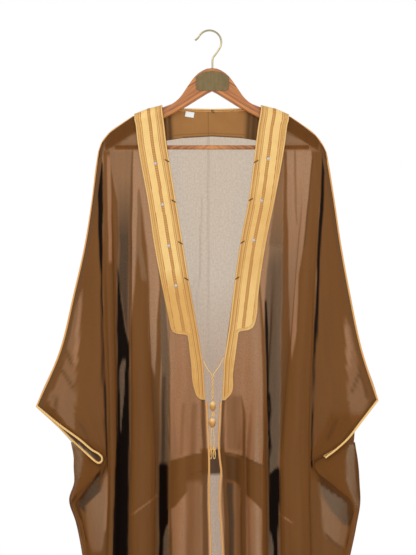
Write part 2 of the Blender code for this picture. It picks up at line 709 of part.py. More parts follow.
def seam_piping_points(side):
    """Centre line of the piping on the shoulder and sleeve seam."""
    start = BAND_EDGE[side][0][1] + PIPING_AFTER_BAND
    line = [(start, 0.0, table(start, SHOULDER[side]))]
    line += [(reach, 0.0, drop) for reach, drop in SHOULDER[side] if reach > start + SHORTEST_PIECE - 2.0]
    line += [(table(level, FRONT_SIDE[side]), 0.0, level)
             for level in side_levels(side)[:CUFF_TIP_ROW + 1]]
    return placed(side, beside(line, PIPING_RADIUS + WALL / 2 + SEAM_PIPING_GAP))


def cuff_front_points(side):
    """Centre line of the piping on the front edge of a cuff."""
    levels = side_levels(side)[CUFF_TIP_ROW:CUFF_END_ROW + 1]
    levels[0] += CUFF_TIP_GAP
    line = [(table(level, FRONT_SIDE[side]), table(level, CUFF_DEPTH), level) for level in levels]
    return placed(side, beside(line, PIPING_RADIUS + CUFF_PIPING_GAP))


def cuff_back_points(side):
    """Centre line of the piping on the back edge of a cuff, down to the side seam."""
    levels = side_levels(side)
    middle, margin_start, end = levels[CUFF_TIP_ROW + 1:CUFF_END_ROW + 1]
    on_back = PIPING_RADIUS + WALL
    line = [(back_side(side, level) - 1.0, on_back, level)
            for level in (middle, margin_start - CUFF_TURN)]
    inner = [(table(level, MARGIN_EDGE[side]), table(level, MARGIN_DEPTH), level)
             for level in (margin_start, end, end + CUFF_RUN_OUT)]
    return placed(side, line + beside(inner, -PIPING_RADIUS - CUFF_PIPING_GAP))


def front_edge_points(side):
    """Centre line of the piping on a front edge, from the band's end to the hem."""
    start = BAND_EDGE[side][-1][0] + CUFF_TIP_GAP
    levels = [start] + [level for level in side_levels(side) if level > start + SHORTEST_PIECE]
    line = [(table(level, FRONT_EDGE[side]), table(level, FRONT_DEPTH), level) for level in levels]
    return placed(side, beside(line, -PIPING_RADIUS - EDGE_PIPING_GAP))


def build_hanger(finish):
    """The wooden yoke, as one body through cross-sections from end to end."""
    rows = []
    reaches = [reach for reach, _ in YOKE_TOP] + list(ARM_STATIONS)
    stations = [-reach for reach in reversed(reaches[1:])] + reaches
    corner_steps = (0.0, 45.0, 90.0)
    for station in stations:
        side = "left" if station < 0 else "right"
        reach = abs(station)
        if reach < YOKE_WIDEST:
            top = table(reach, YOKE_TOP)
        else:
            top = table(reach, SHOULDER[side]) + ARM_UNDER_SHOULDER
        under = table(reach, YOKE_UNDER)
        rounding = smooth_step((reach - ROUNDING_START) / ROUNDING_LENGTH)
        radius = YOKE_CORNER + (ARM_HALF_DEPTH - ARM_EASE - YOKE_CORNER) * rounding
        row = []
        quarter_centres = ((1, top + radius, -1), (1, under - radius, 1),
                           (-1, under - radius, 1), (-1, top + radius, -1))
        for index, (front, centre_drop, down) in enumerate(quarter_centres):
            for step in corner_steps:
                turn = math.radians(90.0 - step if index % 2 == 0 else step)
                depth = front * (ARM_HALF_DEPTH - radius + radius * math.cos(turn))
                drop = centre_drop + down * radius * math.sin(turn)
                row.append(place(CENTRE_X + station, depth, drop))
        rows.append(row)
    bm = bmesh.new()
    loops = []
    for row in rows:
        verts = [bm.verts.new(point) for point in row]
        loops.append([bm.edges.new((verts[i], verts[(i + 1) % len(verts)]))
                      for i in range(len(verts))])
    for first, second in zip(loops[:-1], loops[1:]):
        bmesh.ops.bridge_loops(bm, edges=first + second)
    for loop in (loops[0], loops[-1]):
        bmesh.ops.contextual_create(bm, geom=loop)
    return finish_mesh("hanger", bm, finish)


def build_bar(finish):
    """The round bar between the arms."""
    ends = [place(CENTRE_X - BAR_REACH, 0.0, BAR_DROP), place(CENTRE_X + BAR_REACH, 0.0, BAR_DROP)]
    return build_tube("hanger_bar", ends, BAR_RADIUS, finish, resolution=3)


def build_hook(finish):
    """The wire hook with its flared tip and its shank in the yoke's top."""
    centre_drop = HOOK_CURVE_RADIUS - HOOK_WIRE_RADIUS
    points = [place(x, 0.0, drop) for x, drop in HOOK_TIP]
    for angle in range(HOOK_FIRST_ANGLE, HOOK_LAST_ANGLE - 1, -HOOK_ANGLE_STEP):
        turn = math.radians(angle)
        points.append(place(HOOK_CURVE_RADIUS * math.cos(turn), 0.0,
                            centre_drop - HOOK_CURVE_RADIUS * math.sin(turn)))
    points += [place(x, 0.0, drop) for x, drop in HOOK_SHANK]
    return build_tube("hanger_hook", points, HOOK_WIRE_RADIUS, finish, resolution=2)


def build_plate(finish):
    """The bare plate on the front of the yoke."""
    bm = bmesh.new()
    back_depth = ARM_HALF_DEPTH + SEAM_GAP
    verts = [bm.verts.new(place(PLATE_CENTRE_X + x, back_depth, drop)) for x, drop in PLATE_OUTLINE]
    face = bm.faces.new(verts)
    grown = bmesh.ops.extrude_face_region(bm, geom=[face])
    for item in grown["geom"]:
        if isinstance(item, bmesh.types.BMVert):
            item.co.y -= PLATE_THICKNESS * MM
    return finish_mesh("hanger_plate", bm, finish, smooth=False)


def turned_body(name, x, depth, profile, finish, steps=12):
    """A body turned about an upright axis from radius and drop pairs, with closed poles."""
    bm = bmesh.new()
    verts = [bm.verts.new(place(x + radius, depth, drop)) for radius, drop in profile]
    edges = [bm.edges.new(pair) for pair in zip(verts[:-1], verts[1:])]
    bmesh.ops.spin(bm, geom=verts + edges, cent=place(x, depth, 0.0), axis=(0.0, 0.0, 1.0),
                   angle=math.tau, steps=steps, use_merge=True)
    bmesh.ops.remove_doubles(bm, verts=bm.verts, dist=0.00001)
    return finish_mesh(name, bm, finish)


def bead_profile(top, bottom, radius):
    """Profile of a wrapped ball, slightly flattened at its poles."""
    middle = (top + bottom) / 2
    half = (bottom - top) / 2
    return [(radius * math.sin(math.radians(angle)), middle - half * math.cos(math.radians(angle)))
            for angle in range(0, 181, 20)]


def tie_points(side):
    """Centre line of one tie, from the band's edge down round its partner."""
    sign = SIDES[side]
    drop, lean = TIE_STARTS[side]
    x_meet, depth_meet, drop_meet = TIE_MEETING
    edge = CENTRE_X + sign * (table(drop, FRONT_EDGE[side]) - TIE_RADIUS - SEAM_GAP)
    start_depth = table(drop, FRONT_DEPTH) + WALL / 2 + BAND_CLEARANCE + BAND_THICKNESS / 2
    last = x_meet + sign * TWIST_RADIUS
    knots = [(edge, start_depth, drop), (edge - sign * 3.0, start_depth + 0.2, drop + 6.0),
             ((edge + last) / 2 + lean * 0.5, depth_meet, (drop + drop_meet) / 2 + 3.0),
             (last + sign * 0.8, depth_meet, drop_meet - 5.0)]
    points = [place(*point) for point in through_knots(knots, 4)]
    steps = TWIST_TURNS * STEPS_PER_TURN
    for step in range(steps + 1):
        turn = math.tau * TWIST_TURNS * step / steps
        height = drop_meet + (TIE_TWIST_END - drop_meet) * step / steps
        points.append(place(x_meet + sign * TWIST_RADIUS * math.cos(turn),
                            depth_meet + sign * TWIST_RADIUS * math.sin(turn), height))
    return points


def build_tie(finish):
    """The two ties, the beads and knots, and the two loose ends."""
    for side in SIDES:
        build_tube(f"tie_{side}", tie_points(side), TIE_RADIUS, finish, resolution=2)
    x, depth, _ = TIE_MEETING
    upper = bead_profile(*BEAD_UPPER_DROPS, BEAD_RADIUS)
    turned_body("bead_upper", x + BEAD_UPPER_SHIFT, depth, upper, finish)
    knot = bead_profile(*KNOT_DROPS, KNOT_RADIUS)
    turned_body("knot_middle", x + KNOT_SHIFT, depth, knot, finish, steps=8)
    lower = bead_profile(*BEAD_LOWER_DROPS, LOWER_BEAD_RADIUS)
    turned_body("bead_lower", x + BEAD_LOWER_SHIFT, depth, lower, finish)
    for side, strand_x in STRANDS.items():
        sign = SIDES[side]
        knots = [(x + sign * 1.2, depth, BEAD_LOWER_DROPS[1] + SEAM_GAP),
                 (strand_x - sign * 0.6, depth + 0.4, 805.0),
                 (strand_x + sign * 0.2, depth - 0.3, 818.0),
                 (strand_x, depth, STRAND_END_DROP)]
        points = [place(*point) for point in through_knots(knots, 4)]
        build_tube(f"strand_{side}", points, STRAND_RADIUS, finish, resolution=2)
        profile = [(radius, STRAND_END_DROP + down) for radius, down in TASSEL_PROFILE]
        turned_body(f"tassel_end_{side}", strand_x, depth, profile, finish, steps=8)


def build_pipings(side, finish):
    """The four pipings of one half."""
    lines = {"shoulder": seam_piping_points(side), "cuff_front": cuff_front_points(side),
             "cuff_back": cuff_back_points(side), "edge": front_edge_points(side)}
    for kind, points in lines.items():
        build_tube(f"{kind}_piping_{side}", points, PIPING_RADIUS, finish)


def build_neck_cord(finish):
    """The thin gold cord on the back neck edge."""
    points = []
    for reach in np.linspace(-NECK_CORD_REACH, NECK_CORD_REACH, 17):
        drop = neck_drop(abs(reach))
        points.append(place(CENTRE_X + reach, -table(drop, BACK_DEPTH), drop - NECK_CORD_RADIUS))
    build_tube("neck_cord", points, NECK_CORD_RADIUS, finish)


def main():
    """Build every piece of the cloak and of its hanger."""
    clear_scene()
    finishes = make_materials()
    build_back(finishes["cloth"])
    for side in SIDES:
        build_front(side, finishes["cloth"])
        build_band(side, finishes["gold"])
        build_pipings(side, finishes["gold"])
    build_facing(finishes["facing"])
    build_label(finishes["label"])
    build_neck_cord(finishes["gold"])
    build_tie(finishes["gold"])
    build_hanger(finishes["wood"])
    build_bar(finishes["wood"])
    build_hook(finishes["brass"])
    build_plate(finishes["plate"])


main()
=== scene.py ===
"""Looks of a sheer brown bisht cloak with gold bands, hanging on its wooden hanger.

Metres, +Z up, the front faces -Y, and the origin is the inner top of the hanger's hook.
Sizes in the tables are in millimetres. A drop is a distance below the origin, a reach is a
distance sideways from the cloak's centre line, and a depth is in front of the hanger's middle.
"""

import json
import logging
import math
import random
from collections.abc import Callable, Iterable, Sequence
from dataclasses import dataclass, field
from enum import Enum

import bmesh
import bpy
import numpy as np
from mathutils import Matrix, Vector, noise

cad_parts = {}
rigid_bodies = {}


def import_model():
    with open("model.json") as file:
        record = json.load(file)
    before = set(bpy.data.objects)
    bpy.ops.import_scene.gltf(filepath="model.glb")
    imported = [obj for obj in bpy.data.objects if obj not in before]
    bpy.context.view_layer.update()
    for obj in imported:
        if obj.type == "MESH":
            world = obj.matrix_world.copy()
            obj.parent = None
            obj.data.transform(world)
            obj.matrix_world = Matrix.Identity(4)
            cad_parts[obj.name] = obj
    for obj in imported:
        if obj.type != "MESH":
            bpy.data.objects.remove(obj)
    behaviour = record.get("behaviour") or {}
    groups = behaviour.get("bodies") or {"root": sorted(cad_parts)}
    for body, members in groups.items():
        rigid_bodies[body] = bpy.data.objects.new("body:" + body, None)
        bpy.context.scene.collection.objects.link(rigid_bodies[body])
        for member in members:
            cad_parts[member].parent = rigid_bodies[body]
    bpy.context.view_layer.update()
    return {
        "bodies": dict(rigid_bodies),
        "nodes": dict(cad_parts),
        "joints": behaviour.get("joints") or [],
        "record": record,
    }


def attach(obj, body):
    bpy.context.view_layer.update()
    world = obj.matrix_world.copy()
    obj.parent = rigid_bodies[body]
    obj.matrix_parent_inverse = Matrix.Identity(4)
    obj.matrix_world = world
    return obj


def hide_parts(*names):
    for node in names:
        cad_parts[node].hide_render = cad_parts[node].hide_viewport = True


LOG = logging.getLogger("bisht")

MM = 0.001
BODY = "root"

Pairs = tuple[tuple[float, float], ...]
Fold = tuple[float, float, float, float, float, float]
Colour = tuple[float, float, float]

CENTRE_X = 5.2
LENGTH_DROP = 1570.0
CHEST_DROP = 340.0
CUFF_DROP = 860.0
WALL = 1.2
SEAM_GAP = 0.3
ARM_HALF_DEPTH = 6.0
CLOTH_OVER_ARM = ARM_HALF_DEPTH + SEAM_GAP + 0.9
ARM_ANGLES = (8.0, 45.0, 86.0)
BAND_ANGLES = (-34.0, -10.0, *ARM_ANGLES)
SMALLEST_STEP = 2.6
NECK_TURN = 36.0
SEAM_DEPTH = WALL / 2 + SEAM_GAP
MARGIN_BULGE = 3.0
SEAM_LAP = 5.0
CUFF_TIP_ROW = 5
MARGIN_START_ROW = 7
CUFF_END_ROW = 8
TOP_ROWS = len(ARM_ANGLES) + 1


class Side(Enum):
    """The viewer's left or right half of the cloak."""

    LEFT = -1
    RIGHT = 1

    @property
    def word(self) -> str:
        """The side's name in piece names."""
        return self.name.lower()

    @property
    def sign(self) -> int:
        """The direction of its reach along X."""
        return self.value


class Tone(Enum):
    """How a strip of cloth looks: how much its threads cover, and its painted light and shade."""

    # Shade 0 paints sunlit cloth, GOLDEN's shade paints lit cloth and 1 paints the black shadow deep in a
    # fold; DEEP, GREY, DUSK and BLACK paint shade in the fold valleys.
    PALE = (0.66, 0.0)
    THIN = (0.62, 0.45)
    STREAK = (0.76, 0.0)
    MIST = (0.80, 0.26)
    DULL = (0.84, 0.34)
    GOLDEN = (0.965, 0.4)
    TOP = (0.90, 0.46)
    HEM = (0.93, 0.54)
    DEEP = (0.96, 0.68)
    GREY = (0.80, 0.74)
    DUSK = (0.90, 0.84)
    BLACK = (0.995, 1.0)

    @property
    def cover(self) -> float:
        """The share of the view that its threads cover."""
        return self.value[0]

    @property
    def shade(self) -> float:
        """Painted shade on its threads, from sunlit at 0 to the black of a fold's shadow at 1."""
        return self.value[1]


@dataclass(frozen=True)
class ToneStrip:
    """A strip of one tone down or across a panel, where folds lie on each other or stand open, with the
    light and shade painted there.
    """

    tone: Tone
    rows: tuple[tuple[float, float, float], ...]
    soft: float = 2.6
    across: bool = False
    fade: float = 10.0

    def paint(self, reach: np.ndarray, drop: np.ndarray, cover: np.ndarray, shade: np.ndarray) -> None:
        """Lay the strip over what is there.

        Args:
            reach: Reach of each point.
            drop: Drop of each point.
            cover: How much the threads cover there, which changes.
            shade: Their painted shade there, which changes.
        """
        if self.across:
            reach, drop = drop, reach
        drops, near, far = (np.array(column) for column in zip(*self.rows))
        places = np.arange(drops[0], drops[-1] + 12.0, 12.0)
        sway = [1.3 * noise.noise(Vector((place * 0.021, near[0] * 0.37, 0.0))) for place in places]
        sideways = np.interp(drop, places, sway)
        inside = np.clip((reach - np.interp(drop, drops, near) - sideways) / self.soft + 0.5, 0.0, 1.0)
        inside *= np.clip((np.interp(drop, drops, far) + sideways - reach) / self.soft + 0.5, 0.0, 1.0)
        inside *= np.clip((drop - drops[0]) / self.fade + 0.5, 0.0, 1.0)
        inside *= np.clip((drops[-1] - drop) / 10.0 + 0.5, 0.0, 1.0)
        cover += (self.tone.cover - cover) * inside
        shade += (self.tone.shade - shade) * inside


# Cover and painted light and shade, strip by strip: dark strips paint shade in the fold valleys, along fold
# edges and under the tucks, and pale ones paint sunlit cloth.
TONES = {
    "front_left": (
        ToneStrip(Tone.TOP, ((90, 100, 236), (238, 100, 236))),
        ToneStrip(Tone.MIST, ((206, 146, 152), (218, 146, 172), (229, 146, 188))),
        ToneStrip(Tone.GOLDEN, ((138, 217, 306), (339, 223, 306), (540, 219, 326), (741, 211, 386),
                                (830, 204, 366), (882, 200, 346), (1570, 199, 346))),
        ToneStrip(Tone.MIST, ((520, 259, 262), (545, 260, 271), (597, 264, 282), (649, 268, 292),
                              (679, 272, 301), (711, 273, 314), (738, 274, 330), (760, 275, 318),
                              (782, 275, 298), (806, 275, 280))),
        ToneStrip(Tone.PALE, ((536, 261, 266), (600, 266, 274), (668, 270, 278))),
        ToneStrip(Tone.HEM, ((640, 288, 296), (655, 283, 291), (672, 277, 284)), soft=6.0),
        ToneStrip(Tone.HEM, ((676, 300, 307), (690, 291, 299), (706, 281, 288), (722, 271, 278)), soft=6.0),
        ToneStrip(Tone.HEM, ((732, 311, 318), (752, 309, 316), (768, 312, 318)), soft=6.0),
        ToneStrip(Tone.HEM, ((784, 262, 269), (806, 251, 258), (826, 243, 250)), soft=6.0),
        ToneStrip(Tone.BLACK, ((243, 225, 229), (269, 219, 229), (305, 217, 229), (379, 218, 228),
                               (450, 218, 226), (490, 219, 223), (601, 217, 221), (681, 214, 219),
                               (741, 211, 217), (830, 207, 212), (876, 206, 209))),
        ToneStrip(Tone.GOLDEN, ((239, 205, 219), (279, 201, 218), (343, 189, 218), (432, 187, 218),
                                (492, 190, 219), (601, 191, 217), (741, 189, 211), (830, 190, 208),
                                (972, 196, 209), (1570, 202, 214))),
        ToneStrip(Tone.STREAK, ((251, 204, 211), (339, 201, 209), (464, 200, 206))),
        ToneStrip(Tone.MIST, ((239, 160, 205), (279, 162, 201), (343, 164, 189), (400, 165, 188))),
        ToneStrip(Tone.DUSK, ((352, 164, 189), (432, 165, 187), (492, 165, 189), (540, 166, 182),
                              (601, 167, 173), (631, 166, 167)), soft=7.0, fade=120.0),
        ToneStrip(Tone.BLACK, ((476, 189, 190), (540, 182, 190), (601, 173, 191), (633, 165, 190),
                               (822, 165, 190), (972, 166, 196), (1570, 170, 205))),
        ToneStrip(Tone.GREY, ((660, 173, 180), (677, 174, 185), (721, 176, 185), (761, 179, 184),
                              (804, 182, 183)), soft=1.6),
        ToneStrip(Tone.HEM, ((239, 158, 161), (339, 159, 165), (492, 161, 167), (633, 163, 166))),
        ToneStrip(Tone.GOLDEN, ((319, 145, 147), (432, 130, 150), (520, 125, 156), (601, 125, 164),
                                (671, 121, 164), (717, 104, 164), (862, 104, 165), (972, 107, 166),
                                (1570, 110, 172)), soft=5.0),
        ToneStrip(Tone.DULL, ((319, 144, 148), (432, 140, 150), (500, 130, 141))),
        ToneStrip(Tone.GOLDEN, ((400, 109, 111), (520, 101, 105), (580, 101, 110), (671, 102, 113),
                                (717, 104, 113))),
        ToneStrip(Tone.GREY, ((512, 98, 102), (560, 92, 103), (601, 88, 101), (671, 84, 101),
                              (781, 86, 101), (882, 86, 103))),
        ToneStrip(Tone.DUSK, ((690, 93, 100), (781, 94, 101), (880, 95, 102)), soft=5.0),
        ToneStrip(Tone.BLACK, ((866, 88, 105), (874, 86, 106), (942, 86, 107), (987, 88, 107),
                               (1011, 96, 107), (1570, 100, 110))),
        ToneStrip(Tone.GREY, ((991, 87, 92), (1015, 86, 98), (1570, 88, 100))),
        ToneStrip(Tone.GOLDEN, ((576, 86, 87), (741, 83, 86), (874, 83, 86), (1143, 77, 85),
                                (1570, 78, 88))),
        ToneStrip(Tone.MIST, ((745, 30, 40), (792, 30, 42), (850, 32, 44)), soft=5.0),
        ToneStrip(Tone.MIST, ((745, 54, 60), (850, 58, 66)), soft=5.0),
        ToneStrip(Tone.GOLDEN, ((4, 843, 903), (20, 846, 908), (51, 849, 922), (74, 856, 950),
                                (86, 860, 958)), across=True, fade=4.0),
        ToneStrip(Tone.HEM, ((4, 842, 846), (20, 844, 848), (48, 848, 852)), across=True, fade=4.0),
        ToneStrip(Tone.HEM, ((8, 876, 880), (24, 880, 884), (44, 884, 887)), across=True, fade=4.0),
        ToneStrip(Tone.STREAK, ((112, 930, 933), (136, 946, 949), (160, 965, 968)), across=True),
        ToneStrip(Tone.DEEP, ((929, 31, 34), (960, 34, 37), (1004, 31, 34))),
        ToneStrip(Tone.HEM, ((709, 14, 23), (822, 12, 20), (982, 8, 20), (1570, 4, 16))),
        ToneStrip(Tone.MIST, ((900, 21, 50), (1000, 20, 52), (1570, 22, 58)), soft=8.0),
        ToneStrip(Tone.DUSK, ((876, 224, 227), (898, 222, 236), (918, 222, 252), (938, 226, 267),
                              (952, 238, 265), (962, 248, 256)), soft=4.0),
        ToneStrip(Tone.MIST, ((890, 207, 214), (920, 208, 222), (950, 210, 252), (982, 212, 250),
                              (1020, 216, 246), (1040, 220, 240)), soft=4.0),
        ToneStrip(Tone.DEEP, ((940, 269, 274), (962, 262, 268), (990, 256, 260), (1020, 248, 252))),
        ToneStrip(Tone.DEEP, ((866, 208, 212), (884, 214, 219), (898, 221, 226), (914, 228, 232))),
        ToneStrip(Tone.STREAK, ((886, 207, 211), (942, 208, 213), (1000, 211, 216))),
        ToneStrip(Tone.HEM, ((0, 1552, 1568), (340, 1552, 1568)), across=True),
    ),
    "front_right": (
        ToneStrip(Tone.TOP, ((90, 98, 238), (238, 98, 238))),
        ToneStrip(Tone.MIST, ((206, 146, 152), (218, 146, 176), (230, 146, 200))),
        ToneStrip(Tone.GOLDEN, ((138, 213, 297), (339, 217, 297), (540, 210, 318), (741, 202, 378),
                                (882, 197, 358), (1570, 205, 358))),
        ToneStrip(Tone.MIST, ((576, 265, 270), (601, 267, 279), (649, 270, 289), (690, 272, 295),
                              (722, 272, 304), (746, 274, 314), (770, 278, 300), (790, 280, 284))),
        ToneStrip(Tone.PALE, ((590, 267, 272), (640, 270, 280), (680, 271, 276))),
        ToneStrip(Tone.HEM, ((684, 293, 300), (700, 287, 294), (714, 281, 288), (728, 275, 281)), soft=6.0),
        ToneStrip(Tone.HEM, ((676, 290, 296), (706, 301, 307), (738, 311, 317)), soft=5.0),
        ToneStrip(Tone.HEM, ((778, 246, 254), (800, 236, 244), (820, 228, 236)), soft=6.0),
        ToneStrip(Tone.BLACK, ((239, 221, 226), (329, 218, 225), (345, 216, 224), (432, 210, 218),
                               (492, 209, 215), (601, 203, 211), (671, 200, 205), (761, 197, 202),
                               (852, 196, 200), (874, 197, 202))),
        ToneStrip(Tone.GOLDEN, ((239, 199, 221), (255, 200, 219), (345, 191, 216), (432, 182, 211),
                                (492, 173, 209), (601, 168, 203), (655, 158, 201), (781, 145, 198),
                                (882, 137, 197), (982, 135, 207), (1570, 140, 215))),
        ToneStrip(Tone.DEEP, ((255, 201, 203), (345, 192, 194), (432, 183, 185))),
        ToneStrip(Tone.DULL, ((239, 164, 168), (339, 166, 170), (390, 169, 171))),
        ToneStrip(Tone.GOLDEN, ((239, 144, 150), (345, 142, 150), (432, 141, 153), (520, 141, 154),
                                (601, 139, 156), (655, 138, 158), (781, 137, 161), (902, 135, 157),
                                (1570, 138, 160))),
        ToneStrip(Tone.DULL, ((239, 136, 144), (345, 126, 142), (432, 113, 141))),
        ToneStrip(Tone.GREY, ((412, 117, 141), (520, 106, 141), (601, 105, 138), (731, 112, 137),
                              (822, 114, 135), (874, 114, 131), (894, 119, 130)), soft=4.0, fade=120.0),
        ToneStrip(Tone.BLACK, ((540, 105, 109), (601, 105, 112), (731, 109, 114), (822, 112, 116),
                               (890, 111, 115))),
        ToneStrip(Tone.BLACK, ((725, 111, 116), (761, 115, 119), (798, 113, 116), (834, 114, 119),
                               (852, 115, 117))),
        ToneStrip(Tone.BLACK, ((874, 130, 134), (890, 113, 135), (942, 113, 135), (1009, 114, 132),
                               (1570, 120, 134))),
        ToneStrip(Tone.GREY, ((1003, 115, 117), (1033, 115, 123), (1570, 117, 128))),
        ToneStrip(Tone.GOLDEN, ((492, 91, 94), (601, 98, 105), (731, 101, 109), (862, 102, 113),
                                (982, 98, 113), (1570, 100, 117)), soft=4.0),
        ToneStrip(Tone.GOLDEN, ((731, 57, 60), (761, 60, 66), (846, 60, 67), (982, 56, 69),
                                (1570, 58, 72)), soft=4.0),
        ToneStrip(Tone.DEEP, ((882, 55, 58), (1023, 56, 59), (1570, 57, 60))),
        ToneStrip(Tone.MIST, ((731, 28, 58), (838, 30, 58)), soft=4.0),
        ToneStrip(Tone.DULL, ((898, 28, 55), (1023, 32, 55), (1570, 34, 57)), soft=4.0),
        ToneStrip(Tone.DULL, ((731, 40, 48), (838, 42, 50)), soft=5.0),
        ToneStrip(Tone.DUSK, ((898, 28, 42), (1023, 32, 44), (1570, 34, 46)), soft=4.0),
        ToneStrip(Tone.PALE, ((946, 70, 98), (1023, 70, 98), (1570, 74, 100))),
        ToneStrip(Tone.GOLDEN, ((22, 843, 900), (46, 846, 902), (56, 849, 915), (66, 853, 926),
                                (86, 860, 942), (102, 868, 960)), across=True, fade=4.0),
        ToneStrip(Tone.DEEP, ((22, 846, 896), (44, 850, 898), (54, 856, 906)), across=True),
        ToneStrip(Tone.HEM, ((22, 841, 845), (46, 844, 848), (70, 854, 858), (102, 867, 871)),
                  across=True, fade=4.0),
        ToneStrip(Tone.STREAK, ((137, 966, 969), (150, 973, 976), (158, 978, 981)), across=True),
        ToneStrip(Tone.HEM, ((709, 16, 26), (822, 12, 24), (882, 20, 28), (982, 24, 32),
                             (1570, 30, 40))),
        ToneStrip(Tone.MIST, ((886, 213, 215), (908, 215, 238), (942, 217, 272), (968, 218, 279),
                              (1003, 222, 273), (1017, 229, 271), (1036, 259, 267)), soft=5.0),
        ToneStrip(Tone.GREY, ((884, 212, 216), (904, 214, 234), (926, 218, 258), (946, 228, 272),
                              (970, 246, 278), (990, 264, 278)), soft=8.0),
        ToneStrip(Tone.HEM, ((1003, 222, 228), (1017, 229, 240), (1036, 252, 266)), soft=2.0),
        ToneStrip(Tone.DEEP, ((878, 202, 214), (898, 220, 232), (922, 244, 258), (942, 268, 279),
                              (966, 275, 285), (991, 275, 280), (1033, 265, 271)), soft=5.0),
        ToneStrip(Tone.HEM, ((0, 1552, 1568), (340, 1552, 1568)), across=True),
    ),
    "back": (
        # reach counts to the right here, so the left half's is below 0
        ToneStrip(Tone.PALE, ((590, -80, 84), (1570, -84, 90)), soft=30.0, fade=180.0),
        ToneStrip(Tone.DULL, ((836, -300, -255), (858, -300, -214), (880, -300, -212), (905, -300, -245),
                              (940, -300, -273), (985, -300, -259), (1053, -300, -243),
                              (1570, -300, -236))),
        ToneStrip(Tone.GOLDEN, ((858, -258, -206), (880, -266, -212), (900, -272, -230),
                                (924, -276, -250), (946, -288, -262))),
        ToneStrip(Tone.THIN, ((838, -300, -262), (866, -300, -258), (896, -300, -264),
                              (924, -300, -276)), soft=5.0),
        ToneStrip(Tone.DEEP, ((928, -272, -268), (948, -286, -280), (972, -278, -274), (1010, -262, -258))),
        ToneStrip(Tone.DEEP, ((753, -342, -328), (783, -318, -300), (802, -300, -280), (821, -281, -256),
                               (836, -264, -232), (850, -247, -208), (866, -232, -206))),
        ToneStrip(Tone.GOLDEN, ((770, 240, 306), (824, 215, 306), (832, 215, 276), (850, 200, 270),
                                (900, 200, 268), (930, 240, 280), (950, 274, 292), (1000, 276, 286),
                                (1030, 270, 276))),
        ToneStrip(Tone.DULL, ((945, 284, 306), (995, 280, 306), (1053, 262, 306), (1570, 250, 306))),
        ToneStrip(Tone.THIN, ((836, 272, 306), (870, 268, 306), (905, 270, 306), (940, 282, 306),
                              (962, 292, 306)), soft=5.0),
        ToneStrip(Tone.HEM, ((796, 284, 292), (880, 289, 297), (940, 292, 300)), soft=2.0),
        ToneStrip(Tone.THIN, ((200, -9, -6), (600, -9, -6), (1570, -9, -6))),
        ToneStrip(Tone.THIN, ((330, -22, -20), (430, -25, -22), (490, -25, -22), (520, -30, -28),
                              (560, -32, -30))),
        ToneStrip(Tone.THIN, ((490, -29, -27), (506, -36, -34), (520, -42, -40))),
        ToneStrip(Tone.DEEP, ((-22, 844, 897), (24, 844, 897)), across=True, fade=3.0),
        ToneStrip(Tone.BLACK, ((-22, 844, 847), (24, 844, 847)), across=True),
        ToneStrip(Tone.HEM, ((-330, 1552, 1568), (330, 1552, 1568)), across=True),
    ),
}


@dataclass(frozen=True)
class SideCut:
    """The lines and folds of one half, in millimetres."""

    side: Side
    levels: tuple[float, ...]
    shoulder: Pairs
    front_edge: Pairs
    front_side: Pairs
    back_side: Pairs
    margin_edge: Pairs
    front_folds: tuple[Fold, ...]
    back_folds: tuple[Fold, ...]
    band_edge: Pairs
    cuff_turn: tuple[tuple[float, float, float], ...]
    cuff_back: tuple[tuple[float, float, float], ...]
    tie_start: tuple[float, float]


